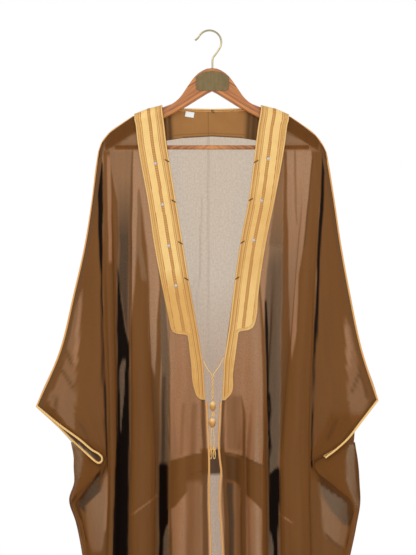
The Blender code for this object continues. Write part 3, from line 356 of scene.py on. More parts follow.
LEFT_CUT = SideCut(
    side=Side.LEFT,
    levels=(262.0, 340.0, 430.0, 530.0, 640.0, 753.0, 790.0, 826.0, 858.0, 874.0, 905.0, 940.0,
            985.0, 1090.0, 1320.0, LENGTH_DROP),
    shoulder=((99.5, 151.0), (128.0, 158.0), (155.4, 169.0), (178.3, 184.3), (205.2, 203.6),
              (220.7, 223.0), (227.5, 242.0)),
    front_edge=((151.0, 99.5), (217.5, 92.7), (314.4, 76.4), (419.7, 59.1), (500.0, 46.4),
                (602.0, 28.1), (662.0, 18.9), (726.6, 14.1), (862.0, 8.5), (932.0, 9.0),
                (1053.0, 5.0), (LENGTH_DROP, 5.0)),
    front_side=((242.0, 227.5), (280.6, 234.2), (365.0, 243.6), (461.0, 260.9), (538.0, 280.0),
                (657.0, 309.0), (741.0, 345.5), (753.0, 352.6), (790.0, 306.0), (826.0, 257.0),
                (858.0, 216.0), (874.0, 221.0), (905.0, 245.0), (940.0, 273.0), (985.0, 259.0),
                (1053.0, 243.0), (LENGTH_DROP, 236.0)),
    back_side=((753.0, 352.6), (790.0, 316.0), (826.0, 282.0), (858.0, 276.0), (905.0, 275.0),
               (950.0, 288.0), (985.0, 272.5), (1053.0, 254.0), (LENGTH_DROP, 262.0)),
    margin_edge=((826.0, 276.0), (858.0, 246.0), (874.0, 221.0)),
    front_folds=(
        # chest, cuff, hem, cuff depth, hem depth, starts
        (84.0, 30.0, 34.0, 0.0, -2.0, 760.0), (96.0, 62.0, 66.0, 13.0, 16.0, 700.0),
        (108.0, 88.0, 92.0, -6.0, -8.0, 640.0), (120.0, 106.0, 112.0, -17.0, -19.0, 600.0),
        (130.0, 121.0, 128.0, -13.0, -15.0, 600.0), (138.0, 112.0, 119.0, 5.0, 5.0, 560.0),
        (147.0, 136.0, 143.0, 19.0, 23.0, 500.0), (158.0, 161.0, 169.0, 7.0, 7.0, 420.0),
        (166.0, 155.0, 163.0, -11.0, -13.0, 240.0), (182.0, 177.0, 186.0, -20.0, -24.0, 220.0),
        (197.0, 195.0, 206.0, -11.0, -13.0, 240.0), (203.0, 186.0, 197.0, 4.0, 4.0, 260.0),
        (212.0, 200.0, 214.0, 12.0, 14.0, 240.0), (226.0, 209.0, 224.0, -7.0, -7.0, 250.0)),
    back_folds=(
        (27.0, 28.0, 30.0, -5.0, -8.0, 380.0), (56.0, 58.0, 62.0, 7.0, 12.0, 420.0),
        (84.0, 86.0, 92.0, -7.0, -12.0, 380.0), (98.0, 101.0, 109.0, 2.0, 2.0, 380.0),
        (112.0, 116.0, 126.0, 10.0, 15.0, 300.0), (140.0, 143.0, 154.0, -10.0, -15.0, 260.0),
        (164.0, 170.0, 184.0, 11.0, 16.0, 260.0), (190.0, 193.0, 208.0, -9.0, -14.0, 260.0),
        (214.0, 216.0, 230.0, 8.0, 12.0, 260.0)),
    band_edge=((169.0, 155.5), (238.2, 147.9), (337.3, 129.4), (459.9, 111.2), (581.0, 85.6),
               (594.0, 82.8), (600.0, 80.5), (604.5, 76.5), (607.2, 70.0), (608.4, 62.0),
               (609.2, 54.0), (611.5, 49.4), (616.0, 48.3), (719.2, 35.0), (733.0, 29.0),
               (739.0, 20.0)),
    cuff_turn=((237.0, 24.0, 841.0), (225.0, 27.0, 847.6), (219.2, 29.0, 854.5), (219.7, 29.0, 860.8),
               (225.2, 29.0, 864.8), (232.4, 28.0, 862.0)),
    cuff_back=((300.0, 2.0, 802.4), (281.5, 4.0, 821.0), (264.4, 9.0, 836.0), (247.0, 20.0, 850.4)),
    tie_start=(661.0, -1.5),
)
RIGHT_CUT = SideCut(
    side=Side.RIGHT,
    levels=(262.0, 340.0, 430.0, 530.0, 640.0, 741.0, 783.0, 826.0, 862.0, 880.0, 908.0, 945.0,
            995.0, 1090.0, 1320.0, LENGTH_DROP),
    shoulder=((97.7, 151.0), (128.0, 158.5), (154.0, 170.0), (181.0, 188.3), (208.0, 209.4),
              (223.3, 230.5), (229.5, 244.0)),
    front_edge=((151.0, 97.7), (222.0, 88.4), (325.8, 75.8), (419.7, 57.3), (496.0, 45.8),
                (594.6, 34.2), (662.0, 23.9), (742.7, 20.0), (842.0, 15.5), (876.0, 21.5),
                (932.0, 17.5), (1053.0, 26.0), (LENGTH_DROP, 28.0)),
    front_side=((244.0, 229.5), (292.0, 238.8), (399.6, 254.0), (469.0, 265.5), (607.0, 292.5),
                (668.7, 308.0), (741.0, 333.5), (783.0, 300.0), (826.0, 263.0), (862.0, 203.0),
                (880.0, 208.0), (908.0, 240.0), (945.0, 280.0), (995.0, 275.0), (1053.0, 260.0),
                (LENGTH_DROP, 250.0)),
    back_side=((741.0, 333.5), (783.0, 293.0), (826.0, 285.5), (893.0, 293.0), (945.0, 296.0),
               (980.0, 294.0), (998.0, 287.0), (1022.0, 276.0), (1053.0, 270.0), (LENGTH_DROP, 274.0)),
    margin_edge=((826.0, 256.0), (862.0, 196.0), (880.0, 208.0)),
    front_folds=(
        (84.0, 44.0, 50.0, 11.0, 14.0, 735.0), (94.0, 66.0, 73.0, -7.0, -8.0, 735.0),
        (103.0, 76.0, 84.0, 8.0, 9.0, 700.0), (112.0, 91.0, 100.0, 16.0, 20.0, 640.0),
        (122.0, 107.0, 117.0, 5.0, 5.0, 560.0), (141.0, 101.0, 111.0, -12.0, -14.0, 260.0),
        (160.0, 122.0, 132.0, -20.0, -24.0, 230.0), (176.0, 143.0, 153.0, -13.0, -15.0, 260.0),
        (182.0, 135.0, 146.0, 3.0, 3.0, 260.0), (194.0, 164.0, 178.0, 17.0, 22.0, 260.0),
        (206.0, 188.0, 206.0, 6.0, 6.0, 260.0), (217.0, 197.0, 214.0, -7.0, -7.0, 250.0)),
    back_folds=(
        (30.0, 31.0, 34.0, 6.0, 10.0, 460.0), (60.0, 63.0, 68.0, -6.0, -10.0, 420.0),
        (86.0, 90.0, 98.0, 9.0, 14.0, 340.0), (101.0, 104.0, 113.0, -1.0, -1.0, 340.0),
        (116.0, 119.0, 128.0, -10.0, -15.0, 280.0), (142.0, 148.0, 160.0, 10.0, 16.0, 260.0),
        (168.0, 174.0, 188.0, -9.0, -14.0, 260.0), (192.0, 199.0, 214.0, 9.0, 13.0, 260.0),
        (215.0, 221.0, 236.0, -4.0, -8.0, 260.0)),
    band_edge=((169.0, 154.0), (238.2, 145.0), (348.9, 124.2), (419.7, 109.0), (512.1, 94.3),
               (576.5, 88.4), (588.0, 85.4), (594.0, 82.0), (598.0, 77.0), (600.4, 70.0),
               (601.6, 62.0), (602.6, 56.0), (605.5, 53.0), (611.0, 52.2), (685.0, 42.2),
               (728.8, 36.6), (740.0, 26.0)),
    cuff_turn=((246.0, 21.0, 840.4), (226.0, 25.4, 854.8)),
    cuff_back=(),
    tie_start=(655.0, 1.5),
)
CUTS = (LEFT_CUT, RIGHT_CUT)


def table(value: float, rows: Pairs) -> float:
    """Read a two-column table at one place.

    Args:
        value: Where to read it, in the first column's terms.
        rows: The table.

    Returns:
        The second column's value there.
    """
    return float(np.interp(value, [row[0] for row in rows], [row[1] for row in rows]))


def smooth_step(value: float) -> float:
    """Rise from 0 to 1 with level ends."""
    share = min(max(value, 0.0), 1.0)
    return share * share * (3.0 - 2.0 * share)


def place(x: float, depth: float, drop: float) -> Vector:
    """A point in metres from an x, a depth in front of the middle and a drop."""
    return Vector((x * MM, -depth * MM, -drop * MM))


def through_knots(knots: Sequence[Sequence[float]], samples: int) -> np.ndarray:
    """Draw a smooth curve through knots that are about evenly apart.

    Args:
        knots: The places that it passes.
        samples: How many points it has from each knot to the next.

    Returns:
        The points, one a row.
    """
    knots = np.array(knots, float)
    after = np.vstack([knots[2:], 2 * knots[-1] - knots[-2]])
    before = np.vstack([2 * knots[0] - knots[1], knots[:-2]])
    points = []
    for start, first, second, end in zip(before, knots[:-1], knots[1:], after):
        for step in range(samples):
            share = step / samples
            points.append(0.5 * (2 * first + (second - start) * share
                                 + (2 * start - 5 * first + 4 * second - end) * share ** 2
                                 + (3 * first - start - 3 * second + end) * share ** 3))
    points.append(knots[-1])
    return np.array(points)


def finer_rows(rows: np.ndarray, spacing: float, corners: np.ndarray | None = None) -> np.ndarray:
    """Put smooth rows between rows of points, and keep those that are there.

    Args:
        rows: Points by row and column.
        spacing: The furthest that the new rows are apart.
        corners: How sharp the line of a column turns at a row, 0 to 1.

    Returns:
        The points by row and column.
    """
    lengths = np.linalg.norm(np.diff(rows, axis=0), axis=2).mean(axis=1)
    places = np.concatenate([[0.0], np.cumsum(lengths)])
    wanted = [np.linspace(start, end, max(int(math.ceil((end - start) / spacing)), 1), endpoint=False)
              for start, end in zip(places[:-1], places[1:])]
    wanted = np.concatenate([*wanted, places[-1:]])
    steps = np.diff(places)
    slopes = np.diff(rows, axis=0) / steps[:, None, None]
    tangents = np.concatenate([slopes[:1], slopes])
    before, after = steps[:-1, None, None], steps[1:, None, None]
    tangents[1:-1] = (slopes[:-1] * after + slopes[1:] * before) / (before + after)
    arriving, leaving = tangents.copy(), tangents.copy()
    if corners is not None:
        arriving[1:] += (slopes - arriving[1:]) * corners[1:, :, None]
        leaving[:-1] += (slopes - leaving[:-1]) * corners[:-1, :, None]
    index = np.clip(np.searchsorted(places, wanted, side="right") - 1, 0, len(places) - 2)
    step = steps[index][:, None, None]
    share = ((wanted - places[index]) / steps[index])[:, None, None]
    return (rows[index] * (2 * share ** 3 - 3 * share ** 2 + 1)
            + leaving[index] * step * (share ** 3 - 2 * share ** 2 + share)
            + rows[index + 1] * (3 * share ** 2 - 2 * share ** 3)
            + arriving[index + 1] * step * (share ** 3 - share ** 2))


def finer_line(points: Iterable[Sequence[float]], spacing: float) -> np.ndarray:
    """Draw a smooth line through points that are unevenly apart."""
    rows = np.array([tuple(point) for point in points], float)[:, None, :]
    return finer_rows(rows, spacing)[:, 0]


def grid_normals(grid: np.ndarray, towards_front: bool) -> np.ndarray:
    """Work out a sheet's normals.

    Args:
        grid: Points in metres by row and column.
        towards_front: True where its outside faces -Y.

    Returns:
        A unit vector for each point.
    """
    across = np.gradient(grid, axis=1)
    down = np.gradient(grid, axis=0)
    normals = np.cross(across, down)
    normals /= np.maximum(np.linalg.norm(normals, axis=2, keepdims=True), 1e-12)
    faces_front = normals[:, :, 1].sum() < 0
    return normals if faces_front == towards_front else -normals


@dataclass(frozen=True)
class Drape:
    """How the cloth hangs: the mean depths of its panels, and their sections by level."""

    front_depth: Pairs = ((150.0, CLOTH_OVER_ARM), (262.0, 12.0), (340.0, 16.0), (430.0, 20.0),
                          (530.0, 24.0), (640.0, 28.0), (753.0, 32.0), (858.0, 35.0),
                          (1080.0, 40.0), (LENGTH_DROP, 46.0))
    back_depth: Pairs = ((150.0, 9.6), (262.0, 13.0), (340.0, 17.0), (530.0, 25.0),
                         (753.0, 34.0), (858.0, 38.0), (1080.0, 44.0), (LENGTH_DROP, 50.0))
    sleeve_depth: Pairs = ((242.0, 9.0), (430.0, 12.0), (640.0, 15.0), (753.0, 17.0),
                           (826.0, 21.0), (858.0, 26.0), (940.0, 31.0), (LENGTH_DROP, 34.0))
    cuff_depth: Pairs = ((741.0, SEAM_DEPTH), (790.0, 11.0), (826.0, 17.0), (858.0, 26.0),
                         (880.0, 30.0), (LENGTH_DROP, 32.0))
    margin_depth: Pairs = ((826.0, 6.0), (858.0, 20.0), (880.0, 30.0), (LENGTH_DROP, 32.0))
    neck_edge: Pairs = ((0.0, 157.4), (60.0, 156.2), (99.5, 151.0))
    samples: int = 9
    row_spacing: float = 8.0

    def fold_knots(self, folds: tuple[Fold, ...], drop: float, span: tuple[float, float],
                   chest_span: tuple[float, float], mean_depth: float) -> list[list[float]]:
        """Find where the folds are at one level.

        Args:
            folds: The panel's folds.
            drop: The level.
            span: The panel's edges at that level.
            chest_span: Its edges at the chest.
            mean_depth: Its mean depth at that level.

        Returns:
            The reach and depth of each fold.
        """
        knots = []
        for chest, cuff, hem, cuff_depth, hem_depth, starts in folds:
            if drop < CHEST_DROP:
                share = (chest - chest_span[0]) / (chest_span[1] - chest_span[0])
                reach = span[0] + share * (span[1] - span[0])
            else:
                reach = float(np.interp(drop, (CHEST_DROP, CUFF_DROP, LENGTH_DROP),
                                        (chest, cuff, hem)))
            full = float(np.interp(drop, (CUFF_DROP, LENGTH_DROP), (cuff_depth, hem_depth)))
            grown = smooth_step((drop - starts) / (CUFF_DROP - starts) * 0.5 + 0.5) * 2.0 - 1.0
            knots.append([reach, mean_depth + full * max(grown, 0.0)])
        return knots

    @staticmethod
    def keep_between(knots: list[list[float]], inner: float, outer: float) -> None:
        """Keep the folds in their order between the panel's edges."""
        count = len(knots)
        for index, knot in enumerate(knots):
            knot[0] = max(knot[0], inner + (index + 1) * SMALLEST_STEP)
            knot[0] = min(knot[0], outer - (count - index) * SMALLEST_STEP)

    def front_section(self, cut: SideCut, drop: float) -> list[list[float]]:
        """Knots of a front at one level, from the opening outwards."""
        inner, outer = table(drop, cut.front_edge), table(drop, cut.front_side)
        chest = (table(CHEST_DROP, cut.front_edge), table(CHEST_DROP, cut.front_side))
        mean_depth = table(drop, self.front_depth)
        knots = self.fold_knots(cut.front_folds, drop, (inner, outer), chest, mean_depth)
        fold_reach = min(knots[-1][0], outer - 2 * SMALLEST_STEP)
        knots.append([(fold_reach + outer) / 2, table(drop, self.sleeve_depth)])
        self.keep_between(knots, inner, outer)
        return [[inner, mean_depth], *knots, [outer - SEAM_GAP, table(drop, self.cuff_depth)]]

    def back_outline(self, cut: SideCut, drop: float) -> float:
        """Reach of the back's outline at one level."""
        if drop <= cut.back_side[0][0]:
            return table(drop, cut.front_side)
        return table(drop, cut.back_side)

    def back_half(self, cut: SideCut, drop: float) -> list[list[float]]:
        """Knots of half the back at one level, from beside the centre to its margin's edge."""
        outer = self.back_outline(cut, drop)
        mean_depth = table(drop, self.back_depth)
        knots = self.fold_knots(cut.back_folds, drop, (0.0, min(outer, cut.shoulder[-1][0] * 1.02)),
                                (0.0, table(CHEST_DROP, cut.front_side)), mean_depth)
        fold_reach = min(knots[-1][0], outer - 2 * SMALLEST_STEP)
        knots.append([(fold_reach + outer) / 2, table(drop, self.sleeve_depth)])
        self.keep_between(knots, 0.0, outer)
        knots.append([outer, SEAM_DEPTH if drop < cut.levels[MARGIN_START_ROW] else 0.0])
        edge = table(drop, cut.margin_edge if drop < cut.margin_edge[-1][0] else cut.front_side)
        depth = table(drop, self.margin_depth)
        return knots + [[outer - MARGIN_BULGE, -depth / 2], [(edge + outer) / 2, -depth],
                        [edge - SEAM_LAP, SEAM_LAP / 2 - depth]]

    def front_rows(self, cut: SideCut) -> np.ndarray:
        """Lay out one front.

        Args:
            cut: The half that it belongs to.

        Returns:
            Reach, depth and drop by row and column, from the shoulder and the opening.
        """
        top = through_knots(self.front_section(cut, cut.shoulder[-1][1]), self.samples)
        inner, outer = cut.shoulder[0][0], cut.shoulder[-1][0]
        span = top[:, 0] - top[0, 0]
        reaches = inner + span / span[-1] * (outer - inner)
        rows = []
        for angle in ARM_ANGLES:
            turn = math.radians(angle)
            rows.append([(reach, CLOTH_OVER_ARM * math.sin(turn),
                          table(reach, cut.shoulder) + CLOTH_OVER_ARM * (1 - math.cos(turn)))
                         for reach in reaches])
        levels = [[(reach, depth, level) for reach, depth in
                   through_knots(self.front_section(cut, level), self.samples)]
                  for level in cut.levels]
        rows.append((np.array(rows[-1]) + np.array(levels[0])) / 2)
        rows = np.array([*rows, *levels], float)
        rows[:TOP_ROWS + 1 + CUFF_TIP_ROW, -1, 1] = SEAM_DEPTH
        corners = np.zeros(rows.shape[:2])
        near_edge = np.clip(np.linspace(0.0, 1.0, rows.shape[1]) * 8.0 - 7.0, 0.0, 1.0)
        for row in (CUFF_TIP_ROW, CUFF_END_ROW):
            corners[TOP_ROWS + row] = near_edge
        return finer_rows(rows, self.row_spacing / 2, corners)

    def over_arm(self, cut: SideCut, reach: float, angle: float) -> tuple[float, float, float]:
        """A point of the back over the hanger's arm, or behind it at the neck."""
        neck_reach = cut.shoulder[0][0]
        behind = smooth_step((neck_reach + NECK_TURN - reach) / NECK_TURN)
        turn = math.radians(angle + (90.0 - angle) * behind)
        over_drop = table(reach, cut.shoulder) + CLOTH_OVER_ARM * (1 - math.cos(turn))
        neck = table(min(reach, neck_reach), self.neck_edge) + angle * 0.05
        share = smooth_step((neck_reach + 6.0 - reach) / 6.0)
        depth = CLOTH_OVER_ARM * math.sin(turn)
        depth += (table(neck, self.back_depth) - depth) * smooth_step((neck_reach + 14.0 - reach) / 14.0)
        return reach, depth, over_drop + (neck - over_drop) * share

    def back_rows(self) -> tuple[np.ndarray, int, np.ndarray]:
        """Lay out the back with its side margins.

        Returns:
            X, depth behind the middle and drop by row and column, how many columns each
            margin has, and the row that each point belongs to, for cutting the margins.
        """
        def section(drops: tuple[float, float]) -> np.ndarray:
            """The whole back at one level, whose drops may differ at its two sides."""
            left, right = (self.back_half(cut, drop) for cut, drop in zip(CUTS, drops))
            knots = [[-reach, depth] for reach, depth in reversed(left)]
            knots += [[0.0, table(drops[0], self.back_depth)], *right]
            points = through_knots(knots, self.samples)
            share = np.clip((points[:, 0] - points[0, 0]) / (points[-1, 0] - points[0, 0]), 0.0, 1.0)
            return np.column_stack([points, drops[0] + (drops[1] - drops[0]) * share])

        spread = section(tuple(cut.shoulder[-1][1] for cut in CUTS))
        rows = []
        for angle in ARM_ANGLES:
            row = []
            for x, _, _ in spread:
                cut = LEFT_CUT if x < 0 else RIGHT_CUT
                reach, depth, drop = self.over_arm(cut, min(abs(x), cut.shoulder[-1][0]), angle)
                row.append((math.copysign(reach, x), depth, drop))
            rows.append(row)
        levels = [section(drops) for drops in zip(LEFT_CUT.levels, RIGHT_CUT.levels)]
        rows.append((np.array(rows[-1]) + levels[0]) / 2)
        rows = np.array([*rows, *levels], float)
        margin = 3 * self.samples
        for column in (margin, -1 - margin):
            rows[:TOP_ROWS + 1 + CUFF_TIP_ROW, column, 1] = SEAM_DEPTH
        index = np.repeat(np.arange(len(rows), dtype=float)[:, None, None], rows.shape[1], axis=1)
        corners = np.zeros(rows.shape[:2])
        nearness = np.abs(np.linspace(-1.0, 1.0, rows.shape[1]))
        for row in (CUFF_TIP_ROW, MARGIN_START_ROW):
            corners[TOP_ROWS + row] = np.clip((nearness - 0.7) / 0.1, 0.0, 1.0)
        fine = finer_rows(rows, self.row_spacing, corners)
        lengths = np.linalg.norm(np.diff(rows, axis=0), axis=2).mean(axis=1)
        counts = np.maximum(np.ceil(lengths / self.row_spacing).astype(int), 1)
        belongs = np.concatenate([np.full(count, number) for number, count in enumerate(counts)])
        return fine, margin, np.append(belongs, len(index) - 1)


DRAPE = Drape()


def to_place(rows: np.ndarray, sign: float = 1.0, front: bool = True) -> np.ndarray:
    """Turn reach, depth and drop into metres in the part's frame."""
    x = (CENTRE_X + sign * rows[..., 0]) * MM
    y = rows[..., 1] * (-MM if front else MM)
    return np.stack([x, y, -rows[..., 2] * MM], axis=-1)


@dataclass
class NodeBook:
    """A material's node tree, with short ways to add to it."""

    material: bpy.types.Material

    def add(self, kind: str, **settings: object) -> bpy.types.Node:
        """Add a node.

        Args:
            kind: Its type, without the leading ShaderNode.
            settings: Its own properties.

        Returns:
            The node.
        """
        node = self.material.node_tree.nodes.new(f"ShaderNode{kind}")
        for name, value in settings.items():
            setattr(node, name, value)
        return node

    def link(self, source: bpy.types.NodeSocket, target: bpy.types.NodeSocket) -> None:
        """Join two sockets."""
        self.material.node_tree.links.new(source, target)

    def maths(self, operation: str, first: object, second: object = 0.0,
              clamp: bool = False) -> bpy.types.NodeSocket:
        """Add a Math node.

        Args:
            operation: What it does.
            first: A socket or number.
            second: A socket or number.
            clamp: Whether it keeps its result from 0 to 1.

        Returns:
            Its result.
        """
        node = self.add("Math", operation=operation, use_clamp=clamp)
        for socket, value in zip(node.inputs, (first, second)):
            if isinstance(value, bpy.types.NodeSocket):
                self.link(value, socket)
            else:
                socket.default_value = value
        return node.outputs[0]

    def mix(self, factor: object, first: object, second: object) -> bpy.types.NodeSocket:
        """Mix two colours.

        Args:
            factor: A socket or number.
            first: A colour or socket, shown at 0.
            second: A colour or socket, shown at 1.

        Returns:
            The mixed colour.
        """
        node = self.add("Mix", data_type="RGBA")
        for socket, value in zip((node.inputs[0], node.inputs[6], node.inputs[7]),
                                 (factor, first, second)):
            if isinstance(value, bpy.types.NodeSocket):
                self.link(value, socket)
            else:
                socket.default_value = (*value, 1.0) if isinstance(value, tuple) else value
        return node.outputs[2]

    def coordinates(self, source: str, scale: Sequence[float],
                    turn: float = 0.0) -> bpy.types.NodeSocket:
        """Scaled coordinates.

        Args:
            source: Object or UV.
            scale: Along each axis.
            turn: About Y, in radians.

        Returns:
            The mapped vector.
        """
        mapping = self.add("Mapping")
        mapping.inputs["Scale"].default_value = scale
        mapping.inputs["Rotation"].default_value = (0.0, turn, 0.0)
        self.link(self.add("TexCoord").outputs[source], mapping.inputs["Vector"])
        return mapping.outputs[0]

    def noise(self, vector: bpy.types.NodeSocket, scale: float, detail: float = 2.0,
              roughness: float = 0.5) -> bpy.types.NodeSocket:
        """Noise from 0 to 1 at a vector."""
        node = self.add("TexNoise")
        node.inputs["Scale"].default_value = scale
        node.inputs["Detail"].default_value = detail
        node.inputs["Roughness"].default_value = roughness
        self.link(vector, node.inputs["Vector"])
        return node.outputs["Fac"]

    def bump(self, height: bpy.types.NodeSocket, strength: float,
             distance: float) -> bpy.types.NodeSocket:
        """A bumped normal from a height."""
        node = self.add("Bump")
        node.inputs["Strength"].default_value = strength
        node.inputs["Distance"].default_value = distance
        self.link(height, node.inputs["Height"])
        return node.outputs[0]


def new_material(name: str) -> tuple[NodeBook, bpy.types.Node]:
    """Start a material.

    Args:
        name: Its name.

    Returns:
        Its node book and its Principled shader.
    """
    material = bpy.data.materials.new(name)
    material.use_nodes = True
    return NodeBook(material), material.node_tree.nodes["Principled BSDF"]


@dataclass(frozen=True)
class SheerCloth:
    """Fine see-through wool whose threads let the light past between them, its brown painted sunlit, lit
    and shadowed by the shade attribute.
    """

    name: str = "sheer brown wool"
    # Painted light: sunlit, lit and dark are one brown in sunlight, in plain light and in a fold's deep
    # shadow.
    sunlit: Colour = (0.335, 0.118, 0.028)
    lit: Colour = (0.192, 0.074, 0.0165)
    dark: Colour = (0.006, 0.002, 0.0008)
    tint: Colour = (1.0, 0.905, 0.765)
    roughness: float = 0.62
    glow: float = 0.35

    def build(self) -> bpy.types.Material:
        """Make the material, which reads the sheet's cover and painted shade."""
        book, shader = new_material(self.name)
        closeness = book.add("Attribute", attribute_name="cover").outputs["Fac"]
        shade = book.add("Attribute", attribute_name="shade").outputs["Fac"]
        threads = book.noise(book.coordinates("UV", (900.0, 14.0, 1.0)), 1.0, 3.0)
        weft = book.noise(book.coordinates("UV", (30.0, 1500.0, 1.0)), 1.0, 2.0)
        clouds = book.noise(book.coordinates("UV", (14.0, 5.0, 1.0)), 1.0, 3.0)
        speckle = book.noise(book.coordinates("UV", (240.0, 170.0, 1.0)), 1.0, 2.0, 0.7)
        weave = book.maths("ADD", book.maths("MULTIPLY", threads, 0.6),
                           book.maths("MULTIPLY", weft, 0.4))
        uneven = book.maths("ADD", book.maths("MULTIPLY", weave, 0.45),
                            book.maths("MULTIPLY", speckle, 0.55))
        open_share = book.maths("SUBTRACT", 1.0, closeness)
        swing = book.maths("MULTIPLY", book.maths("SUBTRACT", uneven, 0.5), 0.8)
        wander = book.maths("MULTIPLY", swing, open_share)
        cover = book.maths("ADD", closeness, wander, clamp=True)
        # Painted light and shade: shade 0 gives the sunlit brown, GOLDEN's shade gives the lit one and 1
        # gives the dark brown of a fold's shadow.
        golden = Tone.GOLDEN.shade
        less_sunlit = book.maths("MULTIPLY", shade, 1.0 / golden, clamp=True)
        dim = book.maths("MULTIPLY", book.maths("SUBTRACT", shade, golden), 1.0 / (1.0 - golden),
                         clamp=True)
        colour = book.mix(dim, book.mix(less_sunlit, self.sunlit, self.lit), self.dark)
        # Painted light: soft clouds and streaks where the cloth is lit more dimly.
        streaks = book.noise(book.coordinates("UV", (95.0, 3.5, 1.0)), 1.0, 3.0, 0.6)
        uneven_light = book.maths("ADD", book.maths("MULTIPLY", clouds, 0.5),
                                  book.maths("MULTIPLY", streaks, 0.5))
        patchy_shade = book.maths("MULTIPLY", book.maths("SUBTRACT", uneven_light, 0.42), 1.5, clamp=True)
        worn_and_shaded = tuple(0.62 * part for part in self.lit)
        streaked = book.mix(patchy_shade, colour, book.mix(dim, worn_and_shaded, self.dark))
        book.link(streaked, shader.inputs["Base Color"])
        shader.inputs["Roughness"].default_value = self.roughness
        shader.inputs["Specular IOR Level"].default_value = 0.08
        shader.inputs["Sheen Weight"].default_value = 0.04
        shader.inputs["Sheen Roughness"].default_value = 0.4
        shader.inputs["Sheen Tint"].default_value = (0.9, 0.6, 0.35, 1.0)
        book.link(book.bump(weave, 0.25, 0.0004), shader.inputs["Normal"])
        glow = book.add("BsdfTranslucent")
        book.link(streaked, glow.inputs["Color"])
        body = book.add("MixShader")
        body.inputs[0].default_value = self.glow
        book.link(shader.outputs[0], body.inputs[1])
        book.link(glow.outputs[0], body.inputs[2])
        gaps = book.add("BsdfTransparent")
        gaps.inputs[0].default_value = (*self.tint, 1.0)
        whole = book.add("MixShader")
        book.link(cover, whole.inputs[0])
        book.link(gaps.outputs[0], whole.inputs[1])
        book.link(body.outputs[0], whole.inputs[2])
        output = book.material.node_tree.nodes["Material Output"]
        book.link(whole.outputs[0], output.inputs["Surface"])
        return book.material


@dataclass(frozen=True)
class WovenCloth:
    """Opaque plain-woven cloth or tape."""

    name: str
    light: Colour
    deep: Colour
    threads: float = 900.0
    roughness: float = 0.8

    def build(self) -> bpy.types.Material:
        """Make the material from its own UV map."""
        book, shader = new_material(self.name)
        warp = book.noise(book.coordinates("UV", (self.threads, 40.0, 1.0)), 1.0, 2.0)
        weft = book.noise(book.coordinates("UV", (40.0, self.threads, 1.0)), 1.0, 2.0)
        weave = book.maths("MULTIPLY", book.maths("ADD", warp, weft), 0.5)
        wear = book.noise(book.coordinates("Object", (18.0, 18.0, 18.0)), 1.0, 3.0)
        tone = book.maths("MULTIPLY", book.maths("ADD", weave, wear), 0.5)
        # Painted shade in the facing's folds from the shade attribute, which also darkens its seam and edge
        # lines.
        shade = book.add("Attribute", attribute_name="shade").outputs["Fac"]
        colour = book.mix(tone, self.deep, self.light)
        book.link(book.mix(shade, colour, tuple(0.2 * part for part in self.deep)),
                  shader.inputs["Base Color"])
        shader.inputs["Roughness"].default_value = self.roughness
        shader.inputs["Specular IOR Level"].default_value = 0.2
        book.link(book.bump(weave, 0.4, 0.0004), shader.inputs["Normal"])
        return book.material


@dataclass(frozen=True)
class GoldThread:
    """Gold thread, laid as satin stripes and braids where a piece has a band pattern."""

    name: str
    bright: Colour = (0.80, 0.545, 0.20)
    middle: Colour = (0.60, 0.32, 0.075)
    deep: Colour = (0.30, 0.105, 0.016)
    roughness: float = 0.45
    metallic: float = 0.2

    def build(self) -> bpy.types.Material:
        """Make the material from the piece's gold and groove attributes: gold sets the thread's brightness
        with painted light along the bands and over the balls, and groove paints shade in the grooves.
        """
        book, shader = new_material(self.name)
        gold = book.add("Attribute", attribute_name="gold").outputs["Fac"]
        groove = book.add("Attribute", attribute_name="groove").outputs["Fac"]
        lay = book.noise(book.coordinates("UV", (260.0, 1400.0, 1.0)), 1.0, 2.0)
        wear = book.noise(book.coordinates("Object", (70.0, 70.0, 70.0)), 1.0, 3.0)
        bright = book.maths("ADD", gold, book.maths("MULTIPLY", book.maths("SUBTRACT", wear, 0.5), 0.5),
                            clamp=True)
        base = book.mix(bright, self.middle, self.bright)
        # Painted shade: grooves between strands and stitches darken towards the deep gold.
        dim = book.maths("ADD", groove, book.maths("MULTIPLY", book.maths("SUBTRACT", lay, 0.55), 0.5),
                         clamp=True)
        book.link(book.mix(dim, base, self.deep), shader.inputs["Base Color"])
        shader.inputs["Metallic"].default_value = self.metallic
        shader.inputs["Roughness"].default_value = self.roughness
        book.link(book.bump(lay, 0.5, 0.0003), shader.inputs["Normal"])
        return book.material


@dataclass(frozen=True)
class VarnishedWood:
    """Reddish wood under clear varnish, its grain running down the arms."""

    name: str = "varnished wood"
    light: Colour = (0.66, 0.25, 0.055)
    dark: Colour = (0.20, 0.05, 0.009)
    arm_slope: float = 0.55

    def build(self) -> bpy.types.Material:
        """Make the material, mirrored about the hanger's middle."""
        book, shader = new_material(self.name)
        parts = book.add("SeparateXYZ")
        book.link(book.add("TexCoord").outputs["Object"], parts.inputs[0])
        joined = book.add("CombineXYZ")
        book.link(book.maths("ABSOLUTE", book.maths("SUBTRACT", parts.outputs[0], CENTRE_X * MM)),
                  joined.inputs[0])
        book.link(parts.outputs[1], joined.inputs[1])
        book.link(parts.outputs[2], joined.inputs[2])
        turned = book.add("Mapping")
        turned.inputs["Rotation"].default_value = (0.0, -self.arm_slope, 0.0)
        book.link(joined.outputs[0], turned.inputs["Vector"])
        mapping = book.add("Mapping")
        mapping.inputs["Scale"].default_value = (9.0, 120.0, 200.0)
        book.link(turned.outputs[0], mapping.inputs["Vector"])
        grain = book.noise(mapping.outputs[0], 1.0, 6.0, 0.62)
        pores = book.noise(mapping.outputs[0], 5.0, 2.0)
        tone = book.maths("ADD", book.maths("MULTIPLY", grain, 0.8), book.maths("MULTIPLY", pores, 0.2))
        stretched = book.maths("MULTIPLY", book.maths("SUBTRACT", tone, 0.36), 3.2, clamp=True)
        book.link(book.mix(stretched, self.dark, self.light), shader.inputs["Base Color"])
        shader.inputs["Roughness"].default_value = 0.45
        shader.inputs["Coat Weight"].default_value = 0.3
        shader.inputs["Coat Roughness"].default_value = 0.15
        book.link(book.bump(pores, 0.15, 0.0003), shader.inputs["Normal"])
        return book.material


